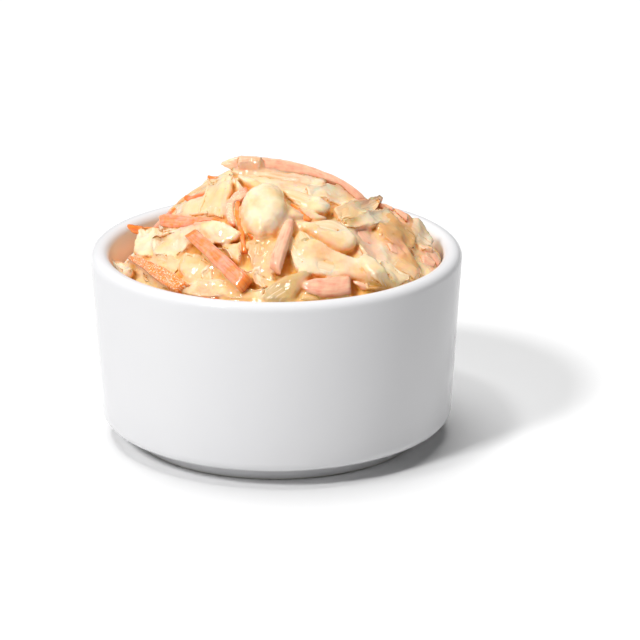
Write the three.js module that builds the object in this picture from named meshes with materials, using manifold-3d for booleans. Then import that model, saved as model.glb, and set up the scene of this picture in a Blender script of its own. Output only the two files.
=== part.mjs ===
// Coleslaw heaped in a white porcelain ramekin. Millimetres, +Z up.
// The origin is at the middle of the foot, on the table; -Y is the front of the heap.
import * as THREE from "three";
import { mergeVertices } from "three/addons/utils/BufferGeometryUtils.js";
import Module from "manifold-3d";

// ---- Ramekin: radii from its axis, heights above the table ----
const RIM_RADIUS = 45;
const HEIGHT = 46.8;
const RIM_WALL = 4.6;
const LIP_DROP = 2.4;
const LOW_RADIUS = 42.95;
const LOW_HEIGHT = 8.6;
const UNDERSIDE_RADIUS = 40.9;
const FOOT_HEIGHT = 4.5;
const FOOT_TOP_RADIUS = 36.2;
const FOOT_RADIUS = 35.1;
const FOOT_INNER_RADIUS = 31.2;
const RECESS_DEPTH = 1.6;
const FLOOR_TOP = 6.5;
const FLOOR_WALL_RADIUS = 38.6;
const FLOOR_FILLET = 6;
const SMALL_ROUND = 0.6;
const LATHE_SIDES = 48;
const ARC_STEPS = 2;

// ---- Heap: its bare surface, which the pieces lie on ----
const GAP = 0.3;
const PEAK = new THREE.Vector2(-3, 3);
const PEAK_HEIGHT = 64;
const EDGE_HEIGHT = 41;
const EDGE_TILT = 4;
const EDGE_HIGH_SIDE = THREE.MathUtils.degToRad(-70);
const DOME_POWER = 1.25;
const SWELLS = [
  { x: 31, y: 2, height: 2.5, spread: 9 },
  { x: -38, y: 9, height: -3.5, spread: 8 },
];
const CORE_SIDES = 32;
const CORE_RINGS = 8;
const HIGHEST = 100;

// ---- Pieces in the heap ----
const STEPS_ALONG = 5;
const WIDE_PIECE = 6;
const ROOT_DEPTH = 1.4;
const TAPER_SHARE = 0.3;
const ENDS = [0.8, 0.8];
const RUFFLE_WAVES = 1.5;

// ---- Pieces scattered over the back of the heap ----
const CARROT = { width: 2.8, thick: 2.2, length: 12, ruffle: 0 };
const SHRED = { width: 3.2, thick: 1.4, length: 13, ruffle: 0 };
const LEAF = { width: 8, thick: 1.3, length: 10, ruffle: 0.7 };
const KINDS = [CARROT, SHRED, SHRED, LEAF];
const SPIRAL_PLACES = 88;
const SCATTER_FRONT = 8;
const SCATTER_REACH = 34;
const SCATTER_SIZES = [0.7, 1.3];
const SCATTER_LIFT = [0.3, 1.1];
const SCATTER_SWAY = 1.5;
const SCATTER_ROLL = 25;
const GOLDEN_ANGLE = Math.PI * (3 - Math.sqrt(5));
const SEED = 22;

// Named pieces of the front and the top: [x, y, lift above the bare surface] at each end, then size.
// arch bends a piece upwards, sway sideways and roll turns it about its line; a piece with limp 1 lies
// along the heap and is rooted in it; ends narrows its two ends and curl lets its long edges drop.
const CARROTS = [
  { from: [-7, 2.6, 2.8], to: [22, -3, 1], width: 4.2, thick: 2.4, arch: 2.8, roll: 64, ends: [1, 0.4] },
  { from: [-19.8, -18, 3], to: [-6.9, -35.6, 3.4], width: 3.8, thick: 3.8, roll: 24, ends: [1, 1] },
  { from: [4.9, -19.4, 1.6], to: [-0.4, -32.3, 2.4], width: 3.3, thick: 3, arch: 0.8, ends: [0.8, 1] },
  { from: [-26.6, -3.4, 2.4], to: [-12.4, -18.8, 1.4], width: 3.8, thick: 2.8, roll: 40, ends: [1, 0.3] },
  { from: [-35, -6.3, 2.2], to: [-20.4, -31.2, 2.8], width: 3.8, thick: 3, roll: 28, ends: [0.4, 1] },
  { from: [-36, 6, 6.4], to: [-27.5, 0, 1], width: 4, thick: 1.6, roll: 55, ends: [0.7, 0.2] },
  { from: [-6, -9.4, 1.6], to: [-9, -20.5, 1.8], width: 2.6, thick: 2.2, sway: -3.2, limp: 1 },
  { from: [-9.4, -11, 1.4], to: [-7.4, -25, 1.2], width: 1.8, thick: 1.6, limp: 1 },
  { from: [-21.8, -0.6, 2.6], to: [-14.5, -3.4, 1.2], width: 2.4, thick: 1.8, roll: 30 },
  { from: [-16.6, 4.6, 2.6], to: [-10.5, 4, 0], width: 1.6, thick: 1.4, ends: [1, 1] },
  { from: [6.2, -34.8, 1], to: [17.4, -32, 1.2], width: 4.6, thick: 3.6, roll: 50, ends: [1, 1] },
  { from: [18.4, -30.6, 0.8], to: [24.6, -29.8, 0.8], width: 3, thick: 2.4, roll: 30 },
  { from: [19.3, -14, 1.2], to: [25.6, -18.8, 1.2], width: 4.6, thick: 2.6, roll: 16, limp: 1 },
  { from: [25, 2.5, 1], to: [33, 2.5, 0.6], width: 2.6, thick: 2, arch: 1.2, roll: 50 },
  { from: [33, -9.5, 2], to: [37.2, -6.5, 1.6], width: 4.6, thick: 2.2, arch: 1, roll: 20 },
  { from: [4.4, -11.8, 0.9], to: [8.4, -17, 0.9], width: 1.8, thick: 1.6, limp: 1 },
  { from: [-18, -34, 0.8], to: [-11, -36.8, 0.8], width: 2.4, thick: 2, limp: 1 },
  { from: [-9, -37.4, 0.8], to: [8, -37.6, 0.8], width: 2.2, thick: 1.8, limp: 1 },
];

const SHREDS = [
  { from: [-12.6, 2.4, 4.2], to: [-3, 1.8, 3.2], width: 3.4, thick: 2, arch: 0.6, roll: 58, ends: [0.2, 1] },
  { from: [-9.5, 0, 2.2], to: [-16.7, -14.9, 1.6], width: 3.2, thick: 1.4, roll: 20, limp: 1 },
  { from: [-10.7, 0.4, 2.4], to: [-22, -4.6, 1.6], width: 3.4, thick: 1.4, roll: 34, limp: 1 },
  { from: [-11.6, -4.6, 1.8], to: [-24, -7.4, 1.5], width: 3.6, thick: 1.4, roll: 24, limp: 1 },
  { from: [-26.8, -10.4, 2.6], to: [-8.6, -21.9, 2.6], width: 5, thick: 1.8, limp: 1, ends: [0.5, 0.3] },
  { from: [-22.6, -30.9, 1.8], to: [-9.7, -33.4, 1.6], width: 4, thick: 1.6, limp: 1, ends: [0.5, 0.8] },
  { from: [-2.5, -36.8, 1.8], to: [8.3, -31.8, 2], width: 5.2, thick: 1.8, limp: 1, ends: [0.4, 0.4] },
  { from: [5.9, -36, 1], to: [11.4, -36.4, 1], width: 3.4, thick: 1.4, limp: 1 },
  { from: [6.9, -19.4, 1.8], to: [18.2, -21.9, 2.6], width: 5.2, thick: 2.6, arch: 0.6, ends: [0.6, 0.8] },
  { from: [14.9, -18.6, 1.4], to: [26, -28.4, 1.8], width: 2.6, thick: 2.2, limp: 1, ends: [0.5, 1] },
  { from: [17.5, -10.2, 1.4], to: [31.5, -4.7, 1.6], width: 5, thick: 2, limp: 1 },
  { from: [31.6, 1.6, 2], to: [37.6, -0.6, 1.8], width: 4.6, thick: 2.2, limp: 1 },
  { from: [4.6, -7.4, 1.6], to: [12.7, -12.4, 1.8], width: 3.8, thick: 2.4, limp: 1 },
  { from: [3.1, -26.5, 1.4], to: [9.3, -23.3, 1.8], width: 5, thick: 1.4, limp: 1 },
  { from: [-5, -1.4, 1.8], to: [13, -4, 1.6], width: 4.2, thick: 1.8, limp: 1 },
  { from: [27, -24.6, 1.4], to: [33.6, -18, 1.4], width: 4, thick: 1.8, limp: 1 },
  { from: [-36.5, -9.5, 1.2], to: [-27.5, -26.5, 1], width: 4, thick: 1.6, limp: 1 },
  { from: [22, -33, 1], to: [30.5, -25.6, 1.2], width: 3.4, thick: 1.6, limp: 1 },
];

const LEAVES = [
  { from: [-28, -4, 1.8], to: [-25.5, -21, 1.2], width: 14, thick: 1.6, ruffle: 0.5, limp: 1 },
  { from: [-17, -16, 1.4], to: [-15, -31, 1.4], width: 9, thick: 1.5, ruffle: 0.5, limp: 1 },
  { from: [15, -9.4, 1.2], to: [26, 2.6, 2], width: 6, thick: 1.4, roll: 22, ends: [1, 0.15] },
  { from: [9.4, -4.8, 1.6], to: [20.2, -5.4, 1.6], width: 6.4, thick: 2, ruffle: 0.4, limp: 1 },
  { from: [24, -14, 1.6], to: [34.6, -12, 1.6], width: 9, thick: 1.6, ruffle: 0.5, limp: 1 },
  { from: [-5.6, -12.4, 1.8], to: [1.8, -23.4, 2], width: 11, thick: 4.6, curl: 2, limp: 1 },
  { from: [5, -23.6, 1.3], to: [25, -28.4, 1.2], width: 12, thick: 1.6, limp: 1, ends: [1, 0.2] },
  { from: [-7, -23, 1.2], to: [-3, -34.5, 1.2], width: 10, thick: 1.6, ruffle: 0.4, limp: 1 },
];

// ---- Ramekin ----
// One closed outline from the recess under the foot, up the outside, over the lip and down to the floor.
function ramekinOutline() {
  const lipOuter = LIP_DROP;
  const lipInner = RIM_WALL - lipOuter;
  const innerRadius = RIM_RADIUS - RIM_WALL;
  const recessRadius = FOOT_INNER_RADIUS - SMALL_ROUND;
  const outline = new THREE.Path();
  outline.moveTo(0, RECESS_DEPTH);
  outline.lineTo(recessRadius, RECESS_DEPTH);
  outline.lineTo(FOOT_INNER_RADIUS, SMALL_ROUND);
  outline.lineTo(FOOT_INNER_RADIUS + SMALL_ROUND, 0);
  outline.lineTo(FOOT_RADIUS - SMALL_ROUND, 0);
  outline.lineTo(FOOT_RADIUS, SMALL_ROUND);
  outline.lineTo(FOOT_TOP_RADIUS, FOOT_HEIGHT);
  outline.lineTo(UNDERSIDE_RADIUS, FOOT_HEIGHT);
  outline.quadraticCurveTo(LOW_RADIUS, FOOT_HEIGHT, LOW_RADIUS, LOW_HEIGHT);
  outline.lineTo(RIM_RADIUS, HEIGHT - lipOuter);
  outline.absarc(RIM_RADIUS - lipOuter, HEIGHT - lipOuter, lipOuter, 0, Math.PI / 2, false);
  outline.absarc(innerRadius + lipInner, HEIGHT - lipInner, lipInner, Math.PI / 2, Math.PI, false);
  outline.lineTo(FLOOR_WALL_RADIUS, FLOOR_TOP + FLOOR_FILLET);
  outline.quadraticCurveTo(FLOOR_WALL_RADIUS, FLOOR_TOP, FLOOR_WALL_RADIUS - FLOOR_FILLET, FLOOR_TOP);
  outline.lineTo(0, FLOOR_TOP);
  return outline.getPoints(ARC_STEPS);
}

function lathe(outline, sides) {
  const geometry = new THREE.LatheGeometry(outline, sides);
  geometry.rotateX(Math.PI / 2);
  return geometry;
}

// Radius inside which the food stays, at height z.
function roomRadius(z) {
  const innerRadius = RIM_RADIUS - RIM_WALL;
  const low = FLOOR_TOP + FLOOR_FILLET;
  const share = THREE.MathUtils.clamp((z - low) / (HEIGHT - low), 0, 1);
  return THREE.MathUtils.lerp(FLOOR_WALL_RADIUS, innerRadius, share) - GAP;
}

// ---- Heap surface ----
// A dome that falls from its peak to the wall, with a shoulder on the right and a hollow on the left.
function heapHeight(x, y) {
  const reach = distanceToWall(x, y);
  const away = Math.hypot(x - PEAK.x, y - PEAK.y);
  const share = Math.min(1, away / reach);
  const edge = EDGE_HEIGHT + EDGE_TILT * Math.cos(Math.atan2(y, x) - EDGE_HIGH_SIDE);
  const fall = Math.pow(1 - share * share, DOME_POWER);
  let height = edge + (PEAK_HEIGHT - edge) * fall;
  for (const swell of SWELLS) {
    const off = Math.hypot(x - swell.x, y - swell.y) / swell.spread;
    height += swell.height * Math.exp(-off * off);
  }
  return height;
}

// How far the wall is from the peak, in the direction of a point.
function distanceToWall(x, y) {
  const direction = new THREE.Vector2(x, y).sub(PEAK).normalize();
  const wall = RIM_RADIUS - RIM_WALL - GAP;
  const along = PEAK.dot(direction);
  return Math.sqrt(along * along + wall * wall - PEAK.lengthSq()) - along;
}

// The bare heap: a lathed plug that fills the cup, its top rings lifted to the surface.
function heapCore() {
  const wall = roomRadius(EDGE_HEIGHT);
  const foot = FLOOR_WALL_RADIUS - FLOOR_FILLET;
  const bottom = FLOOR_TOP + GAP;
  const outline = new THREE.Path();
  outline.moveTo(0, bottom);
  outline.lineTo(foot - GAP, bottom);
  outline.quadraticCurveTo(FLOOR_WALL_RADIUS - GAP, bottom, FLOOR_WALL_RADIUS - GAP, bottom + FLOOR_FILLET);
  const points = outline.getPoints(ARC_STEPS);
  for (let ring = CORE_RINGS; ring >= 0; ring -= 1) {
    points.push(new THREE.Vector2((wall * ring) / CORE_RINGS, HIGHEST));
  }
  const geometry = lathe(points, CORE_SIDES);
  const position = geometry.attributes.position;
  for (let i = 0; i < position.count; i += 1) {
    if (position.getZ(i) === HIGHEST) {
      position.setZ(i, heapHeight(position.getX(i), position.getY(i)));
    }
  }
  return geometry;
}

// ---- Pieces ----
// A piece is a thin solid round a bent grid, both faces of which are split into triangles alike.
function stripGeometry(piece, across, along) {
  const grid = new THREE.PlaneGeometry(1, 1, across, along);
  const count = grid.attributes.position.count;
  const vertices = [];
  for (const side of [1, -1]) {
    for (let i = 0; i < count; i += 1) {
      const place = placeOnStrip(piece, grid.attributes.position.getX(i), grid.attributes.uv.getY(i), side);
      vertices.push(...holdInCup(place).toArray());
    }
  }
  const upper = Array.from(grid.index.array);
  const lower = upper.map((corner) => corner + count).reverse();
  const geometry = new THREE.BufferGeometry();
  geometry.setAttribute("position", new THREE.Float32BufferAttribute(vertices, 3));
  geometry.setIndex([...upper, ...lower, ...rimTriangles(across, along, count)]);
  return geometry;
}

// Two triangles between the faces for each step round the grid's border.
function rimTriangles(across, along, count) {
  const border = [];
  const row = across + 1;
  for (let j = 0; j < along; j += 1) {
    border.push(j * row);
  }
  for (let i = 0; i < across; i += 1) {
    border.push(along * row + i);
  }
  for (let j = along; j > 0; j -= 1) {
    border.push(j * row + across);
  }
  for (let i = across; i > 0; i -= 1) {
    border.push(i);
  }
  const triangles = [];
  border.forEach((corner, step) => {
    const next = border[(step + 1) % border.length];
    triangles.push(corner, corner + count, next + count, corner, next + count, next);
  });
  return triangles;
}

// The middle line of a piece, at a share of its length.
function lineOfPiece(piece, share) {
  const { from, to, arch = 0, sway = 0, limp = 0 } = piece;
  const bow = Math.sin(Math.PI * share);
  const length = Math.hypot(to[0] - from[0], to[1] - from[1]);
  const x = THREE.MathUtils.lerp(from[0], to[0], share) - (sway * bow * (to[1] - from[1])) / length;
  const y = THREE.MathUtils.lerp(from[1], to[1], share) + (sway * bow * (to[0] - from[0])) / length;
  const lift = THREE.MathUtils.lerp(from[2], to[2], share);
  const start = heapHeight(from[0], from[1]) + from[2];
  const end = heapHeight(to[0], to[1]) + to[2];
  const stiff = THREE.MathUtils.lerp(start, end, share);
  const lying = heapHeight(x, y) + lift;
  return new THREE.Vector3(x, y, THREE.MathUtils.lerp(stiff, lying, limp) + arch * bow);
}

// A point of the upper (side 1) or lower (side -1) face: across from -0.5 to 0.5, share from 1 to 0.
function placeOnStrip(piece, across, share, side) {
  const { width, thick, limp = 0, roll = 0, curl = 0, ruffle = 0, ends = ENDS } = piece;
  const nearby = 0.02;
  const before = lineOfPiece(piece, share - nearby);
  const forward = lineOfPiece(piece, share + nearby).sub(before).normalize();
  const sideways = new THREE.Vector3(0, 0, 1).cross(forward).normalize();
  const upwards = forward.clone().cross(sideways);
  sideways.applyAxisAngle(forward, THREE.MathUtils.degToRad(roll));
  upwards.applyAxisAngle(forward, THREE.MathUtils.degToRad(roll));
  const narrow = narrowing(share, ends);
  const wave = ruffle * Math.sin(2 * Math.PI * (share * RUFFLE_WAVES + across));
  const droop = curl * (2 * across) ** 2;
  const root = side < 0 ? limp * ROOT_DEPTH : 0;
  const height = (side * thick * Math.sqrt(narrow)) / 2 + wave - droop - root;
  return lineOfPiece(piece, share)
    .addScaledVector(sideways, -across * width * narrow)
    .addScaledVector(upwards, height);
}

// Share of the full width left at a place along a piece.
function narrowing(share, ends) {
  const start = Math.sin((Math.PI / 2) * Math.min(1, share / TAPER_SHARE));
  const end = Math.sin((Math.PI / 2) * Math.min(1, (1 - share) / TAPER_SHARE));
  return THREE.MathUtils.lerp(ends[0], 1, start) * THREE.MathUtils.lerp(ends[1], 1, end);
}

// A point past the wall moves in, so a piece that meets the cup lies against it.
function holdInCup(point) {
  const radius = Math.hypot(point.x, point.y);
  const room = roomRadius(Math.min(point.z, HEIGHT));
  const scale = Math.min(1, room / radius);
  return new THREE.Vector3(point.x * scale, point.y * scale, point.z);
}

// ---- Scattered pieces ----
// The same draws come out each time: a multiplicative generator with a fixed seed.
function makeRandom(seed) {
  const multiplier = 16807;
  const modulus = 2 ** 31 - 1;
  let state = seed;
  return (low, high) => {
    state = (state * multiplier) % modulus;
    return low + ((high - low) * state) / modulus;
  };
}

// Places come from a sunflower spiral, so the pieces are even; sizes and turns are drawn.
function scatteredPieces() {
  const random = makeRandom(SEED);
  const pieces = [];
  for (let i = 0; i < SPIRAL_PLACES; i += 1) {
    const radius = SCATTER_REACH * Math.sqrt((i + 0.5) / SPIRAL_PLACES);
    const middle = new THREE.Vector2(radius, 0).rotateAround(new THREE.Vector2(), i * GOLDEN_ANGLE);
    const kind = KINDS[i % KINDS.length];
    const half = (kind.length * random(...SCATTER_SIZES)) / 2;
    const reach = new THREE.Vector2(half, 0).rotateAround(new THREE.Vector2(), random(0, Math.PI));
    const piece = {
      from: [...insideWall(middle.clone().sub(reach), middle), random(...SCATTER_LIFT)],
      to: [...insideWall(middle.clone().add(reach), middle), random(...SCATTER_LIFT)],
      width: kind.width * random(...SCATTER_SIZES),
      thick: kind.thick * random(...SCATTER_SIZES),
      sway: random(-SCATTER_SWAY, SCATTER_SWAY),
      roll: random(-SCATTER_ROLL, SCATTER_ROLL),
      ruffle: kind.ruffle,
      limp: 1,
    };
    if (middle.y > SCATTER_FRONT) {
      pieces.push(piece);
    }
  }
  return pieces;
}

// An end that would pass the wall is drawn back towards the middle of its piece.
function insideWall(end, middle) {
  const step = 0.1;
  while (end.length() > SCATTER_REACH + 1) {
    end.lerp(middle, step);
  }
  return end.toArray();
}

// ---- Fusing ----
const wasm = await Module();
wasm.setup();

// Joins the vertices that share a place and drops the triangles that this leaves without an area.
function weld(geometry) {
  geometry.deleteAttribute("normal");
  geometry.deleteAttribute("uv");
  const welded = mergeVertices(geometry);
  const corners = welded.index.array;
  const kept = [];
  for (let i = 0; i < corners.length; i += 3) {
    const [a, b, c] = corners.slice(i, i + 3);
    if (a !== b && b !== c && c !== a) {
      kept.push(a, b, c);
    }
  }
  welded.setIndex(kept);
  return welded;
}

function toSolid(geometry) {
  const welded = weld(geometry);
  return new wasm.Manifold(new wasm.Mesh({
    numProp: 3,
    vertProperties: welded.attributes.position.array,
    triVerts: Uint32Array.from(welded.index.array),
  }));
}

function toGeometry(solid) {
  const mesh = solid.getMesh();
  const geometry = new THREE.BufferGeometry();
  geometry.setAttribute("position", new THREE.BufferAttribute(mesh.vertProperties, 3));
  geometry.setIndex(new THREE.BufferAttribute(mesh.triVerts, 1));
  geometry.computeVertexNormals();
  return geometry;
}

function heapGeometry() {
  let heap = toSolid(heapCore());
  for (const piece of [...CARROTS, ...SHREDS, ...LEAVES, ...scatteredPieces()]) {
    const stepsAcross = piece.width > WIDE_PIECE ? 2 : 1;
    heap = heap.add(toSolid(stripGeometry(piece, stepsAcross, STEPS_ALONG)));
  }
  return toGeometry(outerBody(heap));
}

// Keeps the one outer body: hollows sealed between pieces are filled and loose scraps dropped.
function outerBody(solid) {
  return solid.decompose().reduce((largest, body) => (body.volume() > largest.volume() ? body : largest));
}

// ---- The two things ----
const glazed = new THREE.MeshStandardMaterial({ color: 0xf4f4f5, roughness: 0.12, metalness: 0 });
const dressed = new THREE.MeshStandardMaterial({ color: 0xf6dcae, roughness: 0.3, metalness: 0 });

const ramekin = new THREE.Mesh(weld(lathe(ramekinOutline(), LATHE_SIDES)), glazed);
ramekin.name = "ramekin";

const coleslaw = new THREE.Mesh(heapGeometry(), dressed);
coleslaw.name = "coleslaw";

const ramekinOfColeslaw = new THREE.Group();
ramekinOfColeslaw.add(ramekin, coleslaw);

export default ramekinOfColeslaw;
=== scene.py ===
import math

import bmesh
import bpy
import numpy as np
from mathutils import Matrix, Vector, noise
from mathutils.bvhtree import BVHTree


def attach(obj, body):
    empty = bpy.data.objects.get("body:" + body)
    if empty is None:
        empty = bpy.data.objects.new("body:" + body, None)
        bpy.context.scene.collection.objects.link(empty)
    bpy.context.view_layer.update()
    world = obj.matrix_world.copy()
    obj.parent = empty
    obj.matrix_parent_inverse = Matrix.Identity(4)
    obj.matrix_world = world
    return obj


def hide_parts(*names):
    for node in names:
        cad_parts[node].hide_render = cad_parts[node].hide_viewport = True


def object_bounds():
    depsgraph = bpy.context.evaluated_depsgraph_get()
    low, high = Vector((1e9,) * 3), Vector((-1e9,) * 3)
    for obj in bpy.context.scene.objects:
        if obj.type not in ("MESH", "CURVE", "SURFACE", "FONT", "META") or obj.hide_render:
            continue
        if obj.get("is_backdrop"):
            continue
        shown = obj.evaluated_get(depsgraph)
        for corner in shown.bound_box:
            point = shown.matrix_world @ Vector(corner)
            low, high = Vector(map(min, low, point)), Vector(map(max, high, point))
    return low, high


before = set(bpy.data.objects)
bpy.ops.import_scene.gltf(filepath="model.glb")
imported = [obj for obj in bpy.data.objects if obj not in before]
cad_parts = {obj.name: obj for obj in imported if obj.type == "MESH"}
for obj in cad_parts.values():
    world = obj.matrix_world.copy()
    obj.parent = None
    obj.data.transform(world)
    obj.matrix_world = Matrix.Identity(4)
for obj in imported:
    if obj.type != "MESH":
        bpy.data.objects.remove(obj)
cad_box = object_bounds()

# ---- Studio ----
# A pale floor under soft light: a soft box at the left front, another high up at the left, a wide
# screened one overhead that nothing mirrors, and a dim room. The camera looks down a little, from a
# good way off, through a long lens.
IMAGE_SIDE = 640
FOCAL_PIXELS = 3831.9
SENSOR_WIDTH = 36
CAMERA_DISTANCE = 0.9332
CAMERA_RISE = math.radians(19.03)
AIM_POINT = Vector((0, 0, 0.02343))
AIM_ASIDE = 0.01133
AIM_ABOVE = 0.00471
KEY_PLACE = Vector((-1.5, -1.5, 1.98))
KEY_SIZE = 0.55
KEY_WATTS = 54
HIGH_PLACE = Vector((-0.75, -0.45, 2.45))
HIGH_SIZE = 0.35
HIGH_WATTS = 12
TOP_PLACE = Vector((-0.1, 0.6, 2.8))
TOP_SIZE = 2.2
TOP_WATTS = 60
ROOM_BRIGHTNESS = 0.06
FLOOR_RADIUS = 4

bpy.context.scene.view_settings.view_transform = "Standard"


def place_in_scene(name, data):
    placed = bpy.data.objects.new(name, data)
    bpy.context.scene.collection.objects.link(placed)
    return placed


def new_material(name, base, roughness):
    material = bpy.data.materials.new(name)
    material.use_nodes = True
    surface = material.node_tree.nodes["Principled BSDF"]
    surface.inputs["Base Color"].default_value = (*base, 1)
    surface.inputs["Roughness"].default_value = roughness
    return material, material.node_tree, surface


def aim(placed, point):
    placed.rotation_euler = (point - placed.location).to_track_quat("-Z", "Y").to_euler()


camera = place_in_scene("camera", bpy.data.cameras.new("camera"))
camera.data.sensor_width = SENSOR_WIDTH
camera.data.lens = FOCAL_PIXELS * SENSOR_WIDTH / IMAGE_SIDE
toward_camera = Vector((0, -math.cos(CAMERA_RISE), math.sin(CAMERA_RISE)))
camera_right = Vector((1, 0, 0))
camera_up = camera_right.cross(-toward_camera)
camera.location = AIM_POINT + toward_camera * CAMERA_DISTANCE
aim(camera, camera.location + camera_right * AIM_ASIDE + camera_up * AIM_ABOVE - toward_camera)
bpy.context.scene.camera = camera


def soft_box(name, place, size, watts, mirrored=True):
    light = bpy.data.lights.new(name, "AREA")
    light.shape = "DISK"
    light.size = size
    light.energy = watts
    box = place_in_scene(name, light)
    box.location = place
    box.visible_glossy = mirrored
    aim(box, AIM_POINT)


soft_box("key_light", KEY_PLACE, KEY_SIZE, KEY_WATTS)
soft_box("high_light", HIGH_PLACE, HIGH_SIZE, HIGH_WATTS)
soft_box("top_light", TOP_PLACE, TOP_SIZE, TOP_WATTS, mirrored=False)

world = bpy.data.worlds.new("room")
world.use_nodes = True
world.node_tree.nodes["Background"].inputs["Color"].default_value = (1, 1, 1, 1)
world.node_tree.nodes["Background"].inputs["Strength"].default_value = ROOM_BRIGHTNESS
bpy.context.scene.world = world

floor_shape = bmesh.new()
bmesh.ops.create_circle(floor_shape, cap_ends=True, segments=96, radius=FLOOR_RADIUS)
floor_mesh = bpy.data.meshes.new("floor")
floor_shape.to_mesh(floor_mesh)
floor_shape.free()
floor = place_in_scene("floor", floor_mesh)
floor_material, _, floor_surface = new_material("pale_floor", (0.9, 0.9, 0.9), 0.6)
floor_surface.inputs["Specular IOR Level"].default_value = 0.1
floor_mesh.materials.append(floor_material)
floor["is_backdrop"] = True

# ---- Ramekin ----
# A round baking dish of white porcelain, pressed in a mould and glazed all over but for the ring
# that it stands on. The lip is fully rounded and a narrow foot lifts the body off the table.
MM = 0.001
RIM_RADIUS = 45
RIM_WALL = 4.6
DISH_HEIGHT = 46.8
LOW_RADIUS = 42.5
LOW_HEIGHT = 4.2
LOW_ROUND = 2.6
FOOT_HEIGHT = 4.5
FOOT_TOP_RADIUS = 36.2
FOOT_RADIUS = 35.1
FOOT_INNER_RADIUS = 31.2
RECESS_DEPTH = 1.6
FLOOR_TOP = 6.5
FLOOR_WALL_RADIUS = 38.6
FLOOR_FILLET = 6
LIP_ROUNDS = (2.2, 2.0)
SMALL_ROUND = 0.5
TURN_STEPS = 160
INNER_RADIUS = RIM_RADIUS - RIM_WALL
BARE_HEIGHT = 0.4
# The band of the inner wall below the lip that is tinted warm cream: a painted reflection of the salad
# and of the light it throws on the glaze.
REFLECTION_EDGE = 0.7
REFLECTION_TOP = 1
REFLECTION_FULL = 6
COOL_WHITE = (0.73, 0.73, 0.745)
WARM_WHITE = (0.755, 0.753, 0.76)
GREY_CLAY = (0.70, 0.68, 0.64)
PALE_CLAY = (0.80, 0.79, 0.76)
SALAD_REFLECTION_CREAM = (0.90, 0.42, 0.22)


def rounded_outline(corners):
    """An open chain of edges in the XZ plane: each corner is (radius, height, rounding)."""
    chain = bmesh.new()
    placed = [(chain.verts.new((x, 0, z)), rounding) for x, z, rounding in corners]
    for (first, _), (second, _) in zip(placed, placed[1:]):
        chain.edges.new((first, second))
    for vertex, rounding in placed:
        if rounding:
            bmesh.ops.bevel(
                chain,
                geom=[vertex],
                offset=rounding,
                offset_type="OFFSET",
                segments=6,
                profile=0.5,
                affect="VERTICES",
                material=-1,
            )
    return chain


def turn(chain, steps):
    """Spins an outline right round the Z axis and leaves its faces pointing outwards."""
    bmesh.ops.spin(
        chain,
        geom=chain.verts[:] + chain.edges[:],
        cent=(0, 0, 0),
        axis=(0, 0, 1),
        angle=math.tau,
        steps=steps,
        use_merge=True,
    )
    bmesh.ops.remove_doubles(chain, verts=chain.verts, dist=0.001)
    bmesh.ops.recalc_face_normals(chain, faces=chain.faces)


def finish_mesh(name, shape):
    """Turns a shape drawn in millimetres into a smooth piece of the scene, in metres."""
    bmesh.ops.scale(shape, vec=(MM, MM, MM), verts=shape.verts)
    bmesh.ops.recalc_face_normals(shape, faces=shape.faces)
    mesh = bpy.data.meshes.new(name)
    shape.to_mesh(mesh)
    shape.free()
    mesh.polygons.foreach_set("use_smooth", [True] * len(mesh.polygons))
    return place_in_scene(name, mesh)


dish_outline = rounded_outline(
    [
        (0, RECESS_DEPTH, 0),
        (FOOT_INNER_RADIUS - SMALL_ROUND, RECESS_DEPTH, SMALL_ROUND),
        (FOOT_INNER_RADIUS, 0, SMALL_ROUND),
        (FOOT_RADIUS, 0, SMALL_ROUND),
        (FOOT_TOP_RADIUS, FOOT_HEIGHT, SMALL_ROUND),
        (LOW_RADIUS, LOW_HEIGHT, LOW_ROUND),
        (RIM_RADIUS, DISH_HEIGHT, LIP_ROUNDS[0]),
        (INNER_RADIUS, DISH_HEIGHT, LIP_ROUNDS[1]),
        (FLOOR_WALL_RADIUS, FLOOR_TOP, FLOOR_FILLET),
        (0, FLOOR_TOP, 0),
    ]
)
turn(dish_outline, TURN_STEPS)
ramekin = finish_mesh("porcelain_ramekin", dish_outline)


def add_node(tree, kind, settings=None, **inputs):
    made = tree.nodes.new(kind)
    for name, value in (settings or {}).items():
        setattr(made, name, value)
    for name, value in inputs.items():
        socket = made.inputs[name.replace("_", " ")]
        if isinstance(value, bpy.types.NodeSocket):
            tree.links.new(value, socket)
        else:
            socket.default_value = value
    return made


def spread(tree, value, low, high, to_low=0.0, to_high=1.0):
    """Stretches a value between two levels out to a new range."""
    limits = {"From Min": low, "From Max": high, "To Min": to_low, "To Max": to_high}
    made = add_node(tree, "ShaderNodeMapRange", Value=value)
    for name, level in limits.items():
        made.inputs[name].default_value = level
    return made.outputs["Result"]


def calculate(tree, operation, first, second):
    made = add_node(tree, "ShaderNodeMath", {"operation": operation})
    for socket, value in zip(made.inputs, (first, second)):
        if isinstance(value, bpy.types.NodeSocket):
            tree.links.new(value, socket)
        else:
            socket.default_value = value
    return made.outputs["Value"]


def blend_colour(tree, share, first, second):
    made = tree.nodes.new("ShaderNodeMix")
    made.data_type = "RGBA"
    tree.links.new(share, made.inputs["Factor"])
    for socket, value in ((made.inputs[6], first), (made.inputs[7], second)):
        if isinstance(value, bpy.types.NodeSocket):
            tree.links.new(value, socket)
        else:
            socket.default_value = (*value, 1)
    return made.outputs[2]


def mottle(tree, place, scale, detail=3.0):
    made = add_node(tree, "ShaderNodeTexNoise", Vector=place, Scale=scale, Detail=detail)
    return made.outputs["Fac"]


def scaled(tree, place, shares):
    return add_node(tree, "ShaderNodeMapping", Vector=place, Scale=shares).outputs["Vector"]


def rough_skin(tree, surface, height, strength, depth):
    """Raises a finish by a pattern, up to a depth in millimetres, under its clear coat too."""
    bump = add_node(tree, "ShaderNodeBump", Strength=strength, Distance=depth * MM, Height=height)
    tree.links.new(bump.outputs["Normal"], surface.inputs["Normal"])
    tree.links.new(bump.outputs["Normal"], surface.inputs["Coat Normal"])


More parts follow.
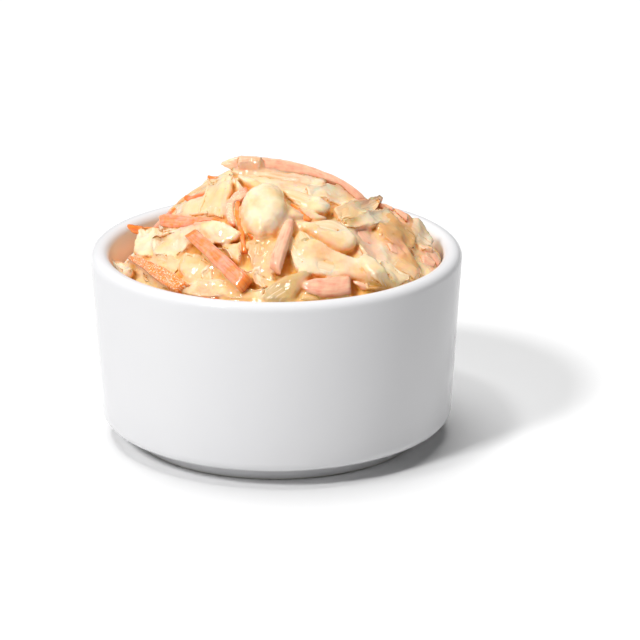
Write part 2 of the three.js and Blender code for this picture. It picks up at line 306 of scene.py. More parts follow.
glaze, tree, surface = new_material("white_glaze", (0.74, 0.74, 0.745), 0.16)
place = add_node(tree, "ShaderNodeTexCoord").outputs["Object"]
height = add_node(tree, "ShaderNodeSeparateXYZ", Vector=place).outputs["Z"]
bare_foot = spread(tree, height, 2 * BARE_HEIGHT * MM, BARE_HEIGHT * MM)
clay = blend_colour(tree, mottle(tree, place, 900), GREY_CLAY, PALE_CLAY)
white = blend_colour(tree, mottle(tree, place, 45), COOL_WHITE, WARM_WHITE)
# Painted reflection: the inner wall just below the lip is tinted warm cream all round, for the salad
# mirrored in the glaze and the light it throws back.
radius = add_node(tree, "ShaderNodeVectorMath", {"operation": "LENGTH"})
tree.links.new(scaled(tree, place, (1, 1, 0)), radius.inputs[0])
inside = spread(tree, radius.outputs["Value"], (INNER_RADIUS + REFLECTION_EDGE) * MM, INNER_RADIUS * MM)
low = spread(tree, height, (DISH_HEIGHT - REFLECTION_TOP) * MM, (DISH_HEIGHT - REFLECTION_FULL) * MM, 0, 0.45)
above_floor = calculate(tree, "GREATER_THAN", height, FLOOR_TOP * MM)
painted_reflection = calculate(tree, "MULTIPLY", calculate(tree, "MULTIPLY", inside, low), above_floor)
white = blend_colour(tree, painted_reflection, white, SALAD_REFLECTION_CREAM)
tree.links.new(blend_colour(tree, bare_foot, white, clay), surface.inputs["Base Color"])
gloss = spread(tree, mottle(tree, place, 120), 0.3, 0.7, 0.12, 0.2)
tree.links.new(calculate(tree, "MAXIMUM", gloss, bare_foot), surface.inputs["Roughness"])
rough_skin(tree, surface, mottle(tree, place, 90), 0.06, 0.6)
surface.inputs["Specular IOR Level"].default_value = 0.05
surface.inputs["Coat Weight"].default_value = 0.12
surface.inputs["Coat Roughness"].default_value = 0.04
ramekin.data.materials.append(glaze)
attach(ramekin, "root")
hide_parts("ramekin")

# ---- Packed salad ----
# The salad below its top layer: chopped cabbage packed down by its own dressing, which fills the
# dish to the wall. Its surface domes up behind the middle and is lower at the left than at the right.
GAP = 0.3
PEAK = Vector((-3, 3))
PEAK_HEIGHT = 64
EDGE_HEIGHT = 41
EDGE_TILT = 4
EDGE_HIGH_SIDE = math.radians(-70)
DOME_POWER = 1.25
SWELLS = [(31, 2, 2.5, 9), (-38, 9, -3.5, 8)]  # x, y, rise and width
WALL_REACH = INNER_RADIUS - GAP
HEAP_RINGS = 70
HEAP_TURNS = 200
HEAP_LUMP = 0.5
HEAP_LUMP_WIDTH = 6
PACKED_DEPTH = 3
CREAM = (0.99, 0.59, 0.32)
PALE_CREAM = (0.99, 0.77, 0.55)
YELLOW_CREAM = (0.98, 0.63, 0.34)
# Honey is a random patch in the dressing and also painted shade in hollows; gold and brown are painted
# shade only.
HONEY_AND_HOLLOW_SHADE = (0.90, 0.56, 0.20)
PAINTED_SHADE_GOLD = (0.82, 0.38, 0.06)
PAINTED_SHADE_BROWN = (0.60, 0.17, 0.02)
TAN_AND_PAINTED_SHADE = (0.78, 0.38, 0.12)
GREY_OLIVE = (0.56, 0.38, 0.17)
PINK = (0.94, 0.45, 0.31)


def heap_height(x, y):
    away = Vector((x, y)) - PEAK
    distance = away.length
    direction = away / distance if distance > 1e-6 else Vector((1, 0))
    along = PEAK.dot(direction)
    reach = math.sqrt(along * along + WALL_REACH * WALL_REACH - PEAK.length_squared) - along
    share = min(1, distance / reach)
    edge = EDGE_HEIGHT + EDGE_TILT * math.cos(math.atan2(y, x) - EDGE_HIGH_SIDE)
    level = edge + (PEAK_HEIGHT - edge) * (1 - share * share) ** DOME_POWER
    for swell_x, swell_y, rise, width in SWELLS:
        off = math.hypot(x - swell_x, y - swell_y) / width
        level += rise * math.exp(-off * off)
    return level


def hold_in_dish(point):
    """A point past the wall moves in, so that food which meets the dish lies against it."""
    low = FLOOR_TOP + FLOOR_FILLET
    share = min(1, max(0, (point.z - low) / (DISH_HEIGHT - low)))
    room = FLOOR_WALL_RADIUS + (INNER_RADIUS - FLOOR_WALL_RADIUS) * share - GAP
    radius = math.hypot(point.x, point.y)
    if radius > room:
        point.x *= room / radius
        point.y *= room / radius
    return point


def bare_heap(bottom, coat, dips):
    """A turned plug whose top rings are lifted to the surface of the heap, but for a few dips."""
    wall = FLOOR_WALL_RADIUS - GAP
    rounding = FLOOR_FILLET if bottom < FLOOR_TOP + FLOOR_FILLET else 0
    corners = [(0, bottom, 0), (wall, bottom, rounding)]
    corners += [(wall * ring / HEAP_RINGS, PEAK_HEIGHT, 0) for ring in range(HEAP_RINGS, -1, -1)]
    plug = rounded_outline(corners)
    turn(plug, HEAP_TURNS)
    widening = WALL_REACH / wall
    for vertex in plug.verts:
        if vertex.co.z > PEAK_HEIGHT - 1:
            vertex.co.x *= widening
            vertex.co.y *= widening
            lump = noise.fractal(vertex.co / HEAP_LUMP_WIDTH, 0.6, 2.0, 4)
            level = heap_height(vertex.co.x, vertex.co.y) + coat + HEAP_LUMP * lump
            for dip, radius, depth in dips:
                off = math.hypot(vertex.co.x - dip.x, vertex.co.y - dip.y) / radius
                level -= depth * math.exp(-off * off)
            vertex.co.z = level
            hold_in_dish(vertex.co)
    return plug


packed_salad = finish_mesh("packed_salad", bare_heap(FLOOR_TOP + GAP, -PACKED_DEPTH, []))


def read(tree, name, output="Vector"):
    """A fact that the points of a piece keep."""
    return add_node(tree, "ShaderNodeAttribute", {"attribute_name": name}).outputs[output]


def split(tree, vector):
    return tuple(add_node(tree, "ShaderNodeSeparateXYZ", Vector=vector).outputs)


def tinted(tree, colour, tints):
    """Lays colours over a first one. Each tint is a value, the level at which it starts to show, the
    level at which it shows most, how much it shows there, and its colour."""
    for value, low, high, most, over in tints:
        colour = blend_colour(tree, spread(tree, value, low, high, 0, most), colour, over)
    return colour


def cream_colour(tree, pattern):
    """Dressing over whatever lies under it: cream, tinted by cabbage and carrot, with painted shade in
    its hollows and crevices.
    """
    place = add_node(tree, "ShaderNodeTexCoord").outputs["Object"]
    _, glassy, tone = split(tree, read(tree, "look"))
    painted_hollow_shade, stain, painted_crevice_shade = split(tree, read(tree, "depth"))
    tints = [
        (pattern, 0.3, 0.58, 1, PALE_CREAM),
        (mottle(tree, place, 70, 2), 0.56, 0.68, 0.2, PINK),
        (mottle(tree, place, 105), 0.48, 0.64, 0.5, HONEY_AND_HOLLOW_SHADE),
        (tone, 0.5, 1, 0.6, YELLOW_CREAM),
        # A low tone tints tan: tone varies from piece to piece, and on the large leaf of the right
        # flank it paints brown shade.
        (tone, 0.5, 0, 0.9, TAN_AND_PAINTED_SHADE),
        (glassy, 0, 1, 1, GREY_OLIVE),
        (stain, 0.2, 1, 0.65, PINK),
        # Painted shade: points below the general height turn honey then gold, and points shut in by
        # their neighbours turn gold then brown.
        (painted_hollow_shade, 0, 0.6, 0.6, HONEY_AND_HOLLOW_SHADE),
        (painted_hollow_shade, 0.6, 1, 0.8, PAINTED_SHADE_GOLD),
        (painted_crevice_shade, 0.04, 0.35, 0.75, PAINTED_SHADE_GOLD),
        (painted_crevice_shade, 0.3, 0.65, 0.8, PAINTED_SHADE_BROWN),
    ]
    return tinted(tree, CREAM, tints)


def wet(surface, share, depth, reach, gloss):
    """Lets light a little way into a finish and lays a thin wet film over it."""
    surface.inputs["Subsurface Weight"].default_value = share
    surface.inputs["Subsurface Radius"].default_value = reach
    surface.inputs["Subsurface Scale"].default_value = depth * MM
    surface.inputs["Specular IOR Level"].default_value = 0.1
    surface.inputs["Coat Weight"].default_value = 0.8
    surface.inputs["Coat Roughness"].default_value = gloss
    surface.inputs["IOR"].default_value = 1.4


dressing, tree, surface = new_material("cream_dressing", CREAM, 0.35)
place = add_node(tree, "ShaderNodeTexCoord").outputs["Object"]
tree.links.new(cream_colour(tree, mottle(tree, place, 180)), surface.inputs["Base Color"])
gloss = spread(tree, mottle(tree, place, 400), 0.3, 0.7, 0.25, 0.45)
tree.links.new(gloss, surface.inputs["Roughness"])
ripples = add_node(tree, "ShaderNodeTexNoise", Vector=place, Scale=330, Detail=4, Distortion=1.2)
rough_skin(tree, surface, ripples.outputs["Fac"], 0.3, 0.35)
wet(surface, 1, 1.4, (1.0, 0.5, 0.22), 0.1)
packed_salad.data.materials.append(dressing)
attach(packed_salad, "root")
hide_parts("coleslaw")

# ---- Carrot sticks ----
# Carrot cut into matchsticks by machine: square in section, crisp where it is fresh, and paler where
# dressing lies on it in a thin film. Each is a bar stretched through ribs, which run from one long
# edge of it to the other, or bent along a line where it fills the back.
CARROTS = [
    # The long curved stick over the top.
    {"ribs": [(238, 157, 3.4, 238, 168.5, 2.2), (262, 157.5, 3, 262, 171.5, 1.6),
        (285, 160, 2, 285, 173.5, 0.6), (305, 165.5, 1.2, 306, 176.5, -0.6),
        (322, 172.5, 0.2, 324, 181.5, -1.6), (338, 180, -0.8, 340, 188, -2.6),
        (352, 188, -1.8, 352, 198, -3.6), (367, 200, -2.8, 359, 205, -4)],
     "thick": 1.3, "square": 5, "film": 0.8, "root": 1.6, "cut": False, "stands": True},
    # The straight baton at the front left.
    {"ribs": [(198, 229.5, 3.6, 187, 237, 2.6), (225, 254, 3.8, 214, 264, 2.6),
        (252, 279, 4, 241, 292, 2.8)], "thick": 1.6, "square": 6, "film": 0.34, "root": 1},
    # The coated stick that leans at the front middle.
    {"ribs": [(295, 221, 2, 283, 224, 2), (292, 236, 3, 279, 235, 2.8), (286, 256, 3.6, 272, 256, 3.2),
        (281, 272, 3.8, 270, 267, 3.4)],
     "thick": 1.7, "square": 2.4, "film": 0.8, "root": 1.6, "cut": False},
    # The flat stick at the left.
    {"ribs": [(161, 216.5, -2.2, 163, 226, -4.6), (172, 214.5, -5, 172, 228.5, -7.8),
        (184, 216.5, -8.4, 184, 229.5, -11.2), (196, 218.5, -11.6, 195, 227.5, -13.6),
        (208, 220.5, -14.4, 206, 224.5, -15.4), (221, 222, -16.6, 219, 225, -17.2)],
     "thick": 1.5, "square": 5, "film": 0.3, "root": 1.5, "stands": True},
    # The grainy stick at the lower left, whose pale specks are partly its cut and partly painted
    # glints.
    {"ribs": [(133, 256.5, 2.4, 130, 259.5, 2.2), (145, 259.5, 2.6, 143, 268, 2.2),
        (160, 266, 2.8, 156, 279, 2.2), (175, 274, 2.8, 166, 287, 2.2),
        (190, 285.5, 2.8, 178, 293, 2.2)], "thick": 1.6, "square": 6, "film": 0.15, "speckle_and_glint": 0.9},
    # The pointed tip at the far left.
    {"ribs": [(129, 223.5, 5.5, 128, 226, 5.5), (137, 225, 4, 136, 232.5, 4),
        (143, 226, 3, 143, 232, 3), (150, 226.5, 1.5, 149, 228.5, 1.5), (157, 226.8, 0, 157, 227.8, 0)],
     "thick": 0.9, "square": 4, "film": 0, "root": 0.8, "stands": True},
    # The coated curl beside the large lump of dressing, whose pale specks paint glints on it.
    {"ribs": [(247, 188, 2, 249, 196, 1.4), (239, 191.5, 2.4, 242, 202, 1.8),
        (231, 198, 2.6, 236, 204, 2), (226.5, 208, 2.6, 234.5, 210, 2.4),
        (227, 218, 2.4, 235.5, 219, 2.4), (232, 227.5, 2, 237, 226, 2)],
     "thick": 1.1, "film": 0.85, "speckle_and_glint": 0.8, "root": 1.2},
    # The dark thread below the curl.
    {"ribs": [(235, 199, 1.6, 241, 202, 1.8), (235.5, 212, 2, 240, 213, 2),
        (237, 224, 2, 242, 224, 1.8), (240, 235, 1.6, 245.5, 234, 1.6),
        (241.5, 247, 1.2, 246.5, 246, 1.2), (243, 254, 0.8, 248, 253, 0.8)],
     "thick": 0.9, "film": 0.1, "root": 1.2},
    # The short dark thread beside it.
    {"ribs": [(241, 220, 1.4, 243.5, 221, 1.4), (244, 230, 1.6, 247.5, 229, 1.6),
        (249, 236.5, 1.6, 252.5, 234.5, 1.6), (255, 240.5, 1.6, 257, 238, 1.6)],
     "thick": 0.8, "square": 2.5, "film": 0, "root": 1},
    # A thin end behind the left shoulder.
    {"ribs": [(184.5, 196.5, 0, 187, 199, 0), (193, 196, -0.8, 194, 201.5, -0.8),
        (201, 192.5, -1.5, 202, 198.5, -1.5), (211, 190, -2.4, 212, 195.5, -2.4)],
     "thick": 0.8, "square": 4, "film": 0.25, "root": 1, "stands": True},
    # A small end above it.
    {"ribs": [(208, 175.5, 4.6, 208.5, 179.5, 4.6), (213, 176.3, 4.4, 213, 178.5, 4.4),
        (219, 177, 4, 219, 178.5, 4)],
     "thick": 0.6, "square": 4, "film": 0.1, "root": 0.8, "stands": True},
    # The block at the front right.
    {"ribs": [(302, 286.5, 1.6, 303, 290, 1.2), (312, 280.5, 2.4, 311, 295, 1.4),
        (325, 278.8, 2.8, 324, 298, 1.6), (338, 278, 2.8, 338, 297.5, 1.6),
        (349.5, 277.5, 2.6, 350.5, 294, 1.6)],
     "thick": 1.5, "square": 4, "film": 0.78, "root": 2, "cut": False},
    # A sliver beside the block.
    {"ribs": [(353, 280, 1.8, 356, 284.5, 1.4), (360, 283, 2, 361, 288.5, 1.6),
        (367, 287, 1.6, 366, 290.5, 1.2)], "thick": 0.9, "film": 0.9, "root": 1, "cut": False},
    # A broad thin slice among the leaves at the right.
    {"ribs": [(356, 229.5, 0.5, 357, 234, 0.3), (364, 229.5, 0.5, 365, 247, 0.3),
        (370, 233, 0.4, 375, 259, 0.2), (373, 245, 0.3, 381, 262, 0.1)],
     "thick": 0.3, "film": 0.9, "root": 1, "cut": False},
    # A thin curl at the right.
    {"ribs": [(388, 244, 1.6, 391, 251, 1.4), (396, 242, 1.8, 398, 255, 1.4),
        (401, 247, 1.4, 402, 254, 1.2)],
     "thick": 0.4, "square": 2.6, "film": 0.9, "root": 1, "cut": False},
    # A piece over the back right edge.
    {"ribs": [(379, 205, 2.2, 379, 210, 1), (386, 205.2, 2.2, 386, 211, 1),
        (393, 208.5, 1.8, 393, 213, 0.8)],
     "thick": 0.9, "square": 4, "film": 0.85, "root": 1, "cut": False, "stands": True},
    # Another one below it.
    {"ribs": [(394, 210, 2, 397, 215.5, 0.4), (401, 211.8, 1.6, 402, 219, 0),
        (408, 216.5, 1, 407, 222.5, -0.8)],
     "thick": 0.9, "square": 4, "film": 0.8, "root": 1, "cut": False, "stands": True},
    # A rolled piece at the right wall.
    {"ribs": [(420, 258, -9, 420, 266, -11), (425, 256, -8, 424, 272, -11.5),
        (431, 260, -8, 429, 272, -11), (434, 265, -8.5, 433, 269, -10)],
     "thick": 1.5, "square": 2.2, "film": 0.8, "root": 1.5, "cut": False, "stands": True},
    # A coated strip over it.
    {"ribs": [(421, 250, -6, 424, 257, -8), (431, 251.5, -5, 430, 258, -8),
        (437, 259, -6, 433, 264, -8.6), (438, 267, -7.5, 434, 269, -9.4)],
     "thick": 1.1, "square": 2.2, "film": 0.95, "root": 1.2, "cut": False, "stands": True},
    # A thin thread above the middle.
    {"ribs": [(291, 204.5, 1.2, 291, 206, 1.2), (300, 210.5, 1.5, 298, 213.5, 1.5),
        (307, 215.5, 1.6, 303, 221, 1.5), (312.5, 221.5, 1.4, 309, 223, 1.4)],
     "thick": 0.8, "square": 2.6, "film": 0.1, "root": 1},
    # A thin strip at the front rim.
    {"ribs": [(197, 295.5, 1, 199, 298, 1), (208, 296, 1.2, 208, 299, 1.2),
        (218.5, 295.5, 1, 218.5, 299.5, 1)], "thick": 0.6, "film": 0, "root": 0.8},
]
ORANGE = (0.92, 0.24, 0.035)
BRIGHT_ORANGE = (0.95, 0.34, 0.10)
SALMON = (0.96, 0.29, 0.20)
PALE_SALMON = (0.98, 0.52, 0.36)
PINK_CREAM = (0.99, 0.60, 0.38)
# Red-brown marks the carrot's fibres and is also painted shade where a stick is shut in.
RED_BROWN_FIBRE_AND_SHADE = (0.76, 0.13, 0.05)
MIDDLE_PIXEL = (276.58, 338.04)
SIGHT_STEP = 1.0
SIGHT_SPAN = range(-80, 80)
STEPS_PER_RIB = 5
NEAR = 0.02
TIP_SHARE = 0.12
TIP_FULLNESS = 0.35
SIDE_SHOWN = Vector((0, -20, 30))
THROUGH = 4
EDGE_GRAIN = 2.2
EDGE_SIDE = 4
EDGE_APART = 3.7
THINNEST_HALF = 0.6
FOLD_WIDTH = 4.2
FOLD_APART = 9.1
GRAIN_APART = 7.3
KNOT_TURN = 2.4
PLEAT_TURN = 3
PLEAT_DEPTH = 0.45
CURL_REACH = 1.6
TORN_WIDTH = 1.6
TORN_STEPS = 9
TORN_APART = 1.3
TORN_DEPTH = 1.6
TORN_REACH = 3
LUMP_WIDTH = 2.2
UNCUT = 9


def sight_line(column, row):
    """The ray through a pixel of the camera, in millimetres."""
    aside = (column - MIDDLE_PIXEL[0]) / FOCAL_PIXELS
    above = (MIDDLE_PIXEL[1] - row) / FOCAL_PIXELS
    return (camera_right * aside + camera_up * above - toward_camera).normalized()


def place_seen(column, row, level, stands):
    """Where a sight line meets the heap lifted by level, or the depth level for what stands free."""
    eye = camera.location / MM
    ray = sight_line(column, row)
    if stands:
        return eye + ray * (level - eye.y) / ray.y
    nearest = (math.inf, None)
    last = None
    for step in SIGHT_SPAN:
        point = eye + ray * (CAMERA_DISTANCE / MM + step * SIGHT_STEP)
        if math.hypot(point.x, point.y) > WALL_REACH:
            continue
        above = point.z - heap_height(point.x, point.y) - level
        if above <= 0:
            return last[1].lerp(point, last[0] / (last[0] - above)) if last else point
        last = (above, point)
        nearest = min(nearest, last, key=lambda found: found[0])
    return nearest[1]


def smooth_between(points, place):
    """A smooth curve through the points, place running from 0 at the first to 1 a step."""
    index = min(int(place), len(points) - 2)
    share = place - index
    p1, p2 = points[index], points[index + 1]
    p0 = points[index - 1] if index > 0 else p1 * 2 - p2
    p3 = points[index + 2] if index + 2 < len(points) else p2 * 2 - p1
    bend = (p2 - p0) * share + (p0 * 2 - p1 * 5 + p2 * 4 - p3) * share**2
    return p1 + (bend + (p1 * 3 - p0 - p2 * 3 + p3) * share**3) / 2


def new_pieces():
    """An empty shape with the facts that the finishes read: the grain's place, the look of the
    piece and how far the nearer cut end is."""
    shape = bmesh.new()
    shape.verts.layers.float_vector.new("grain")
    shape.verts.layers.float_vector.new("look")
    shape.verts.layers.float.new("end")
    return shape


def cut_bar(along, across, through):
    """A unit bar split evenly: x runs along it, y across it and z through it."""
    bar = bmesh.new()
    bmesh.ops.create_cube(bar, size=1)
    for axis, cuts in ((0, along - 1), (1, across - 1), (2, through - 1)):
        edges = [
            edge
            for edge in bar.edges
            if abs(edge.verts[0].co[axis] - edge.verts[1].co[axis]) > 0.9
        ]
        bmesh.ops.subdivide_edges(bar, edges=edges, cuts=cuts, use_grid_fill=True)
    return bar


def rounded(over, up, squareness):
    """Takes a point of a square section to a rounded one: 2 is an ellipse and more is squarer."""
    most = max(abs(over), abs(up))
    if most == 0:
        return over, up
    shrink = most / (abs(over) ** squareness + abs(up) ** squareness) ** (1 / squareness)
    return over * shrink, up * shrink


def rough(place):
    """Noise in three layers, each finer and weaker than the one before."""
    return noise.fractal(place, 0.7, 2.0, 3)


def folding(piece, seed, place, over, along, to_end):
    """How far folds, knots, pleats and curled edges lift a point of a limp piece."""
    lift = piece.get("fold", 0) * noise.noise(place / FOLD_WIDTH)
    lift += piece.get("knots", 0) * math.sin(along * KNOT_TURN + seed) * abs(over)
    lift += PLEAT_DEPTH * math.sin(piece.get("pleats", 0) * over * PLEAT_TURN)
    return lift + piece.get("curl", 0) * max(over**4, max(0, 1 - to_end / CURL_REACH) ** 2)


def add_bar(pieces, piece, seed, spine, across):
    """Shapes a bar by its spine and adds it to its kind. spine(share) gives the middle, the vector
    from there to one long edge, the upward direction and the share of the full thickness. thick and
    root are how far the piece reaches above its middle and below it, square is how square its
    section is, ragged how torn its edges are, and film, grit, glassy, tone and cut are its look."""
    bar = cut_bar(piece.get("along", 24), across, THROUGH)
    ragged = piece.get("ragged", 0.1)
    length = (spine(1)[0] - spine(0)[0]).length
    grain = pieces.verts.layers.float_vector["grain"]
    look = pieces.verts.layers.float_vector["look"]
    end = pieces.verts.layers.float["end"]
    speckle_and_glint = piece.get("speckle_and_glint", piece.get("glassy", 0))
    facts = Vector((piece.get("film", 1), speckle_and_glint, piece.get("tone", 0.5)))
    apart = Vector((seed * FOLD_APART, 0, 0))
    frames = {}
    moved = {}
    for vertex in bar.verts:
        share = round(vertex.co.x + 0.5, 4)
        if share not in frames:
            frames[share] = spine(share)
        middle, half, upwards, fullness = frames[share]
        along, to_end = share * length, min(share, 1 - share) * length
        over, up = rounded(math.sin(math.pi * vertex.co.y), 2 * vertex.co.z, piece.get("square", 3))
        edge_place = Vector((along / EDGE_GRAIN, math.copysign(EDGE_SIDE, over), seed * EDGE_APART))
        widening = 1 + ragged * rough(edge_place) / max(THINNEST_HALF, half.length)
        rise = up * piece["thick"] * fullness if up > 0 else up * piece.get("root", 1.4)
        rise += folding(piece, seed, middle + half * over + apart, over, along, to_end)
        offset = half * over * widening + upwards * rise
        end_place = Vector((over * half.length / TORN_WIDTH, share * TORN_STEPS, seed * TORN_APART))
        torn = ragged * TORN_DEPTH * noise.noise(end_place) * max(0, 1 - to_end / TORN_REACH)
        offset += half.cross(upwards).normalized() * torn
        if offset.length > 0:
            uneven = rough((middle + offset + apart) / LUMP_WIDTH)
            offset += offset.normalized() * piece.get("lump", 0.1) * uneven
        fresh = pieces.verts.new(hold_in_dish(middle + offset))
        fresh[grain] = Vector((along, over * half.length, GRAIN_APART * seed))
        fresh[look] = facts
        fresh[end] = to_end if piece.get("cut", True) else UNCUT
        moved[vertex] = fresh
    for face in bar.faces:
        pieces.faces.new([moved[vertex] for vertex in face.verts])
    bar.free()


def stretch(pieces, piece, seed, across=6):
    """Adds a piece given by ribs: (column, row, level) of one end and then of the other."""
    stands = piece.get("stands", False)
    lefts = [place_seen(*rib[:3], stands) for rib in piece["ribs"]]
    rights = [place_seen(*rib[3:], stands) for rib in piece["ribs"]]
    spans = len(lefts) - 1
    taper = piece.get("taper", TIP_SHARE)

    def spine(share):
        place = share * spans
        left, right = smooth_between(lefts, place), smooth_between(rights, place)
        behind, ahead = max(0, place - NEAR), min(spans, place + NEAR)
        before = smooth_between(lefts, behind) + smooth_between(rights, behind)
        after = smooth_between(lefts, ahead) + smooth_between(rights, ahead)
        middle = (left + right) / 2
        upwards = (after - before).cross(right - left).normalized()
        outwards = Vector((middle.x - PEAK.x, middle.y - PEAK.y, 0)) + SIDE_SHOWN
        if upwards.dot(outwards) < 0:
            upwards.negate()
        fullness = math.sin(math.pi / 2 * min(1, TIP_FULLNESS + min(share, 1 - share) / taper))
        return middle, (right - left) / 2, upwards, fullness

    add_bar(pieces, {"along": STEPS_PER_RIB * spans + 4, **piece}, seed, spine, across)


# Carrot, shreds and leaves go on over the back of the heap, in places spread evenly round a spiral.
BACK_KINDS = [
    ("carrot", {"width": 2.8, "thick": 1.1, "length": 12, "square": 5}),
    ("shred", {"width": 3.2, "thick": 0.8, "length": 13, "square": 2.6}),
    ("shred", {"width": 3.2, "thick": 0.8, "length": 13, "square": 2.6}),
    ("leaf", {"width": 8, "thick": 0.7, "length": 10, "square": 3.4, "fold": 0.9, "ragged": 0.4}),
]
BACK_DRAWS = 22
BACK_SEED = 120
BACK_PLACES = 88
BACK_EDGE = 8
BACK_REACH = 34
BACK_SIZES = (0.7, 1.3)
BACK_LIFT = (0.3, 1.1)
BACK_SWAY = (-1.5, 1.5)
BACK_ROLL = (-25, 25)
FILM_STEP = 0.37
TONE_STEP = 0.61
TAPER_SHARE = 0.3
END_WIDTH = 0.8
GOLDEN_ANGLE = math.pi * (3 - math.sqrt(5))
DRAW_STEP = 16807
DRAW_LIMIT = 2**31 - 1


class Draws:
    """Numbers between two limits, the same ones each time for the same seed."""

    def __init__(self, seed):
        self.state = seed

    def __call__(self, limits):
        self.state = self.state * DRAW_STEP % DRAW_LIMIT
        return limits[0] + (limits[1] - limits[0]) * self.state / DRAW_LIMIT


def lie(pieces, piece, seed, across=6):
    """Adds a limp piece that follows the heap between two ends: (x, y, lift above the bare heap)."""
    first, last = Vector(piece["from"]), Vector(piece["to"])
    length = math.hypot(last.x - first.x, last.y - first.y)
    side = Vector((first.y - last.y, last.x - first.x, 0)) / length
    roll = math.radians(piece["roll"])

    def on_line(share):
        point = first.lerp(last, share) + side * piece["sway"] * math.sin(math.pi * share)
        point.z += heap_height(point.x, point.y)
        return point

    def spine(share):
        forward = (on_line(share + NEAR) - on_line(share - NEAR)).normalized()
        sideways = Vector((0, 0, 1)).cross(forward).normalized()
        spin = Matrix.Rotation(roll, 3, forward)
        swelling = math.sin(math.pi / 2 * min(1, min(share, 1 - share) / TAPER_SHARE))
        narrow = END_WIDTH + (1 - END_WIDTH) * swelling
        half = spin @ sideways * (piece["width"] * narrow / 2)
        return on_line(share), half, spin @ forward.cross(sideways), math.sqrt(narrow)

    add_bar(pieces, piece, seed, spine, across)


def spiral_place(count, places, reach):
    """One of so many places spread evenly over a round patch, counted from its middle."""
    radius = reach * math.sqrt((count + 0.5) / places)
    turned = count * GOLDEN_ANGLE
    return Vector((radius * math.cos(turned), radius * math.sin(turned)))


def drawn_heading(draw, half):
    """A vector of a given length in a drawn direction, from the middle of a piece to its end."""
    heading = draw((0, math.pi))
    return Vector((half * math.cos(heading), half * math.sin(heading)))


def end_in_dish(end, middle):
    """Draws an end that would meet the wall in towards the middle of its piece."""
    while end.length > BACK_REACH + 1:
        end = end.lerp(middle, 0.1)
    return end


def pieces_at_back():
    """The pieces that lie over the back, by kind, each with the seed of its unevenness."""
    found = {name: [] for name, _ in BACK_KINDS}
    draw = Draws(BACK_DRAWS)
    for count in range(BACK_PLACES):
        middle = spiral_place(count, BACK_PLACES, BACK_REACH)
        name, kind = BACK_KINDS[count % len(BACK_KINDS)]
        reach = drawn_heading(draw, kind["length"] * draw(BACK_SIZES) / 2)
        piece = {
            **kind,
            "from": (*end_in_dish(middle - reach, middle), draw(BACK_LIFT)),
            "to": (*end_in_dish(middle + reach, middle), draw(BACK_LIFT)),
            "width": kind["width"] * draw(BACK_SIZES),
            "thick": kind["thick"] * draw(BACK_SIZES),
            "sway": draw(BACK_SWAY),
            "roll": draw(BACK_ROLL),
            "film": (count * FILM_STEP) % 1 if name == "carrot" else 1,
            "tone": (count * TONE_STEP) % 1,
        }
        if middle.y > BACK_EDGE:
            found[name].append((BACK_SEED + count, piece))
    return found


at_back = pieces_at_back()
carrots = new_pieces()
for count, stick in enumerate(CARROTS):
    stretch(carrots, stick, count)
for seed, stick in at_back["carrot"]:
    lie(carrots, stick, seed)
carrot_sticks = finish_mesh("carrot_sticks", carrots.copy())  # the bed is fused from carrots itself

carrot, tree, surface = new_material("carrot", ORANGE, 0.35)
place = read(tree, "grain")
film, speckle_and_glint, _ = split(tree, read(tree, "look"))
painted_hollow_shade, _, painted_crevice_shade = split(tree, read(tree, "depth"))
cut = spread(tree, read(tree, "end", "Fac"), 0.2, 1.6, -0.6, 0)
streak = mottle(tree, scaled(tree, place, (0.14, 1.2, 1)), 1.4)
fibre = mottle(tree, scaled(tree, place, (0.3, 2.4, 1)), 1, 2)
uneven = spread(tree, mottle(tree, place, 0.6, 2), 0.3, 0.7, -0.2, 0.2)
film = calculate(tree, "ADD", calculate(tree, "ADD", film, uneven), cut)
speck = spread(tree, mottle(tree, place, 2.4, 1), 0.54, 0.64)
tints = [
    (film, 0.1, 0.45, 1, tinted(tree, SALMON, [(streak, 0.25, 0.85, 1, PALE_SALMON)])),
    (fibre, 0.56, 0.68, 0.5, RED_BROWN_FIBRE_AND_SHADE),
    (film, 0.5, 0.9, 1, tinted(tree, PALE_SALMON, [(streak, 0.35, 0.7, 1, PINK_CREAM)])),
    # Pale specks: partly grainy cut carrot, partly painted glints.
    (calculate(tree, "MULTIPLY", speck, speckle_and_glint), 0, 1, 1, PALE_CREAM),
    # Painted shade: hollows deepen the orange and shut-in points turn red-brown.
    (painted_hollow_shade, 0.3, 1, 0.6, ORANGE),
    (painted_crevice_shade, 0.25, 0.7, 0.85, RED_BROWN_FIBRE_AND_SHADE),
]
fresh = tinted(tree, ORANGE, [(streak, 0.35, 0.7, 1, BRIGHT_ORANGE)])
tree.links.new(tinted(tree, fresh, tints), surface.inputs["Base Color"])
tree.links.new(spread(tree, streak, 0.3, 0.7, 0.25, 0.42), surface.inputs["Roughness"])
rough_skin(tree, surface, streak, 0.4, 0.4)
wet(surface, 0.4, 0.2, (1.0, 0.9, 0.85), 0.12)
carrot_sticks.data.materials.append(carrot)
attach(carrot_sticks, "root")
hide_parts("coleslaw")

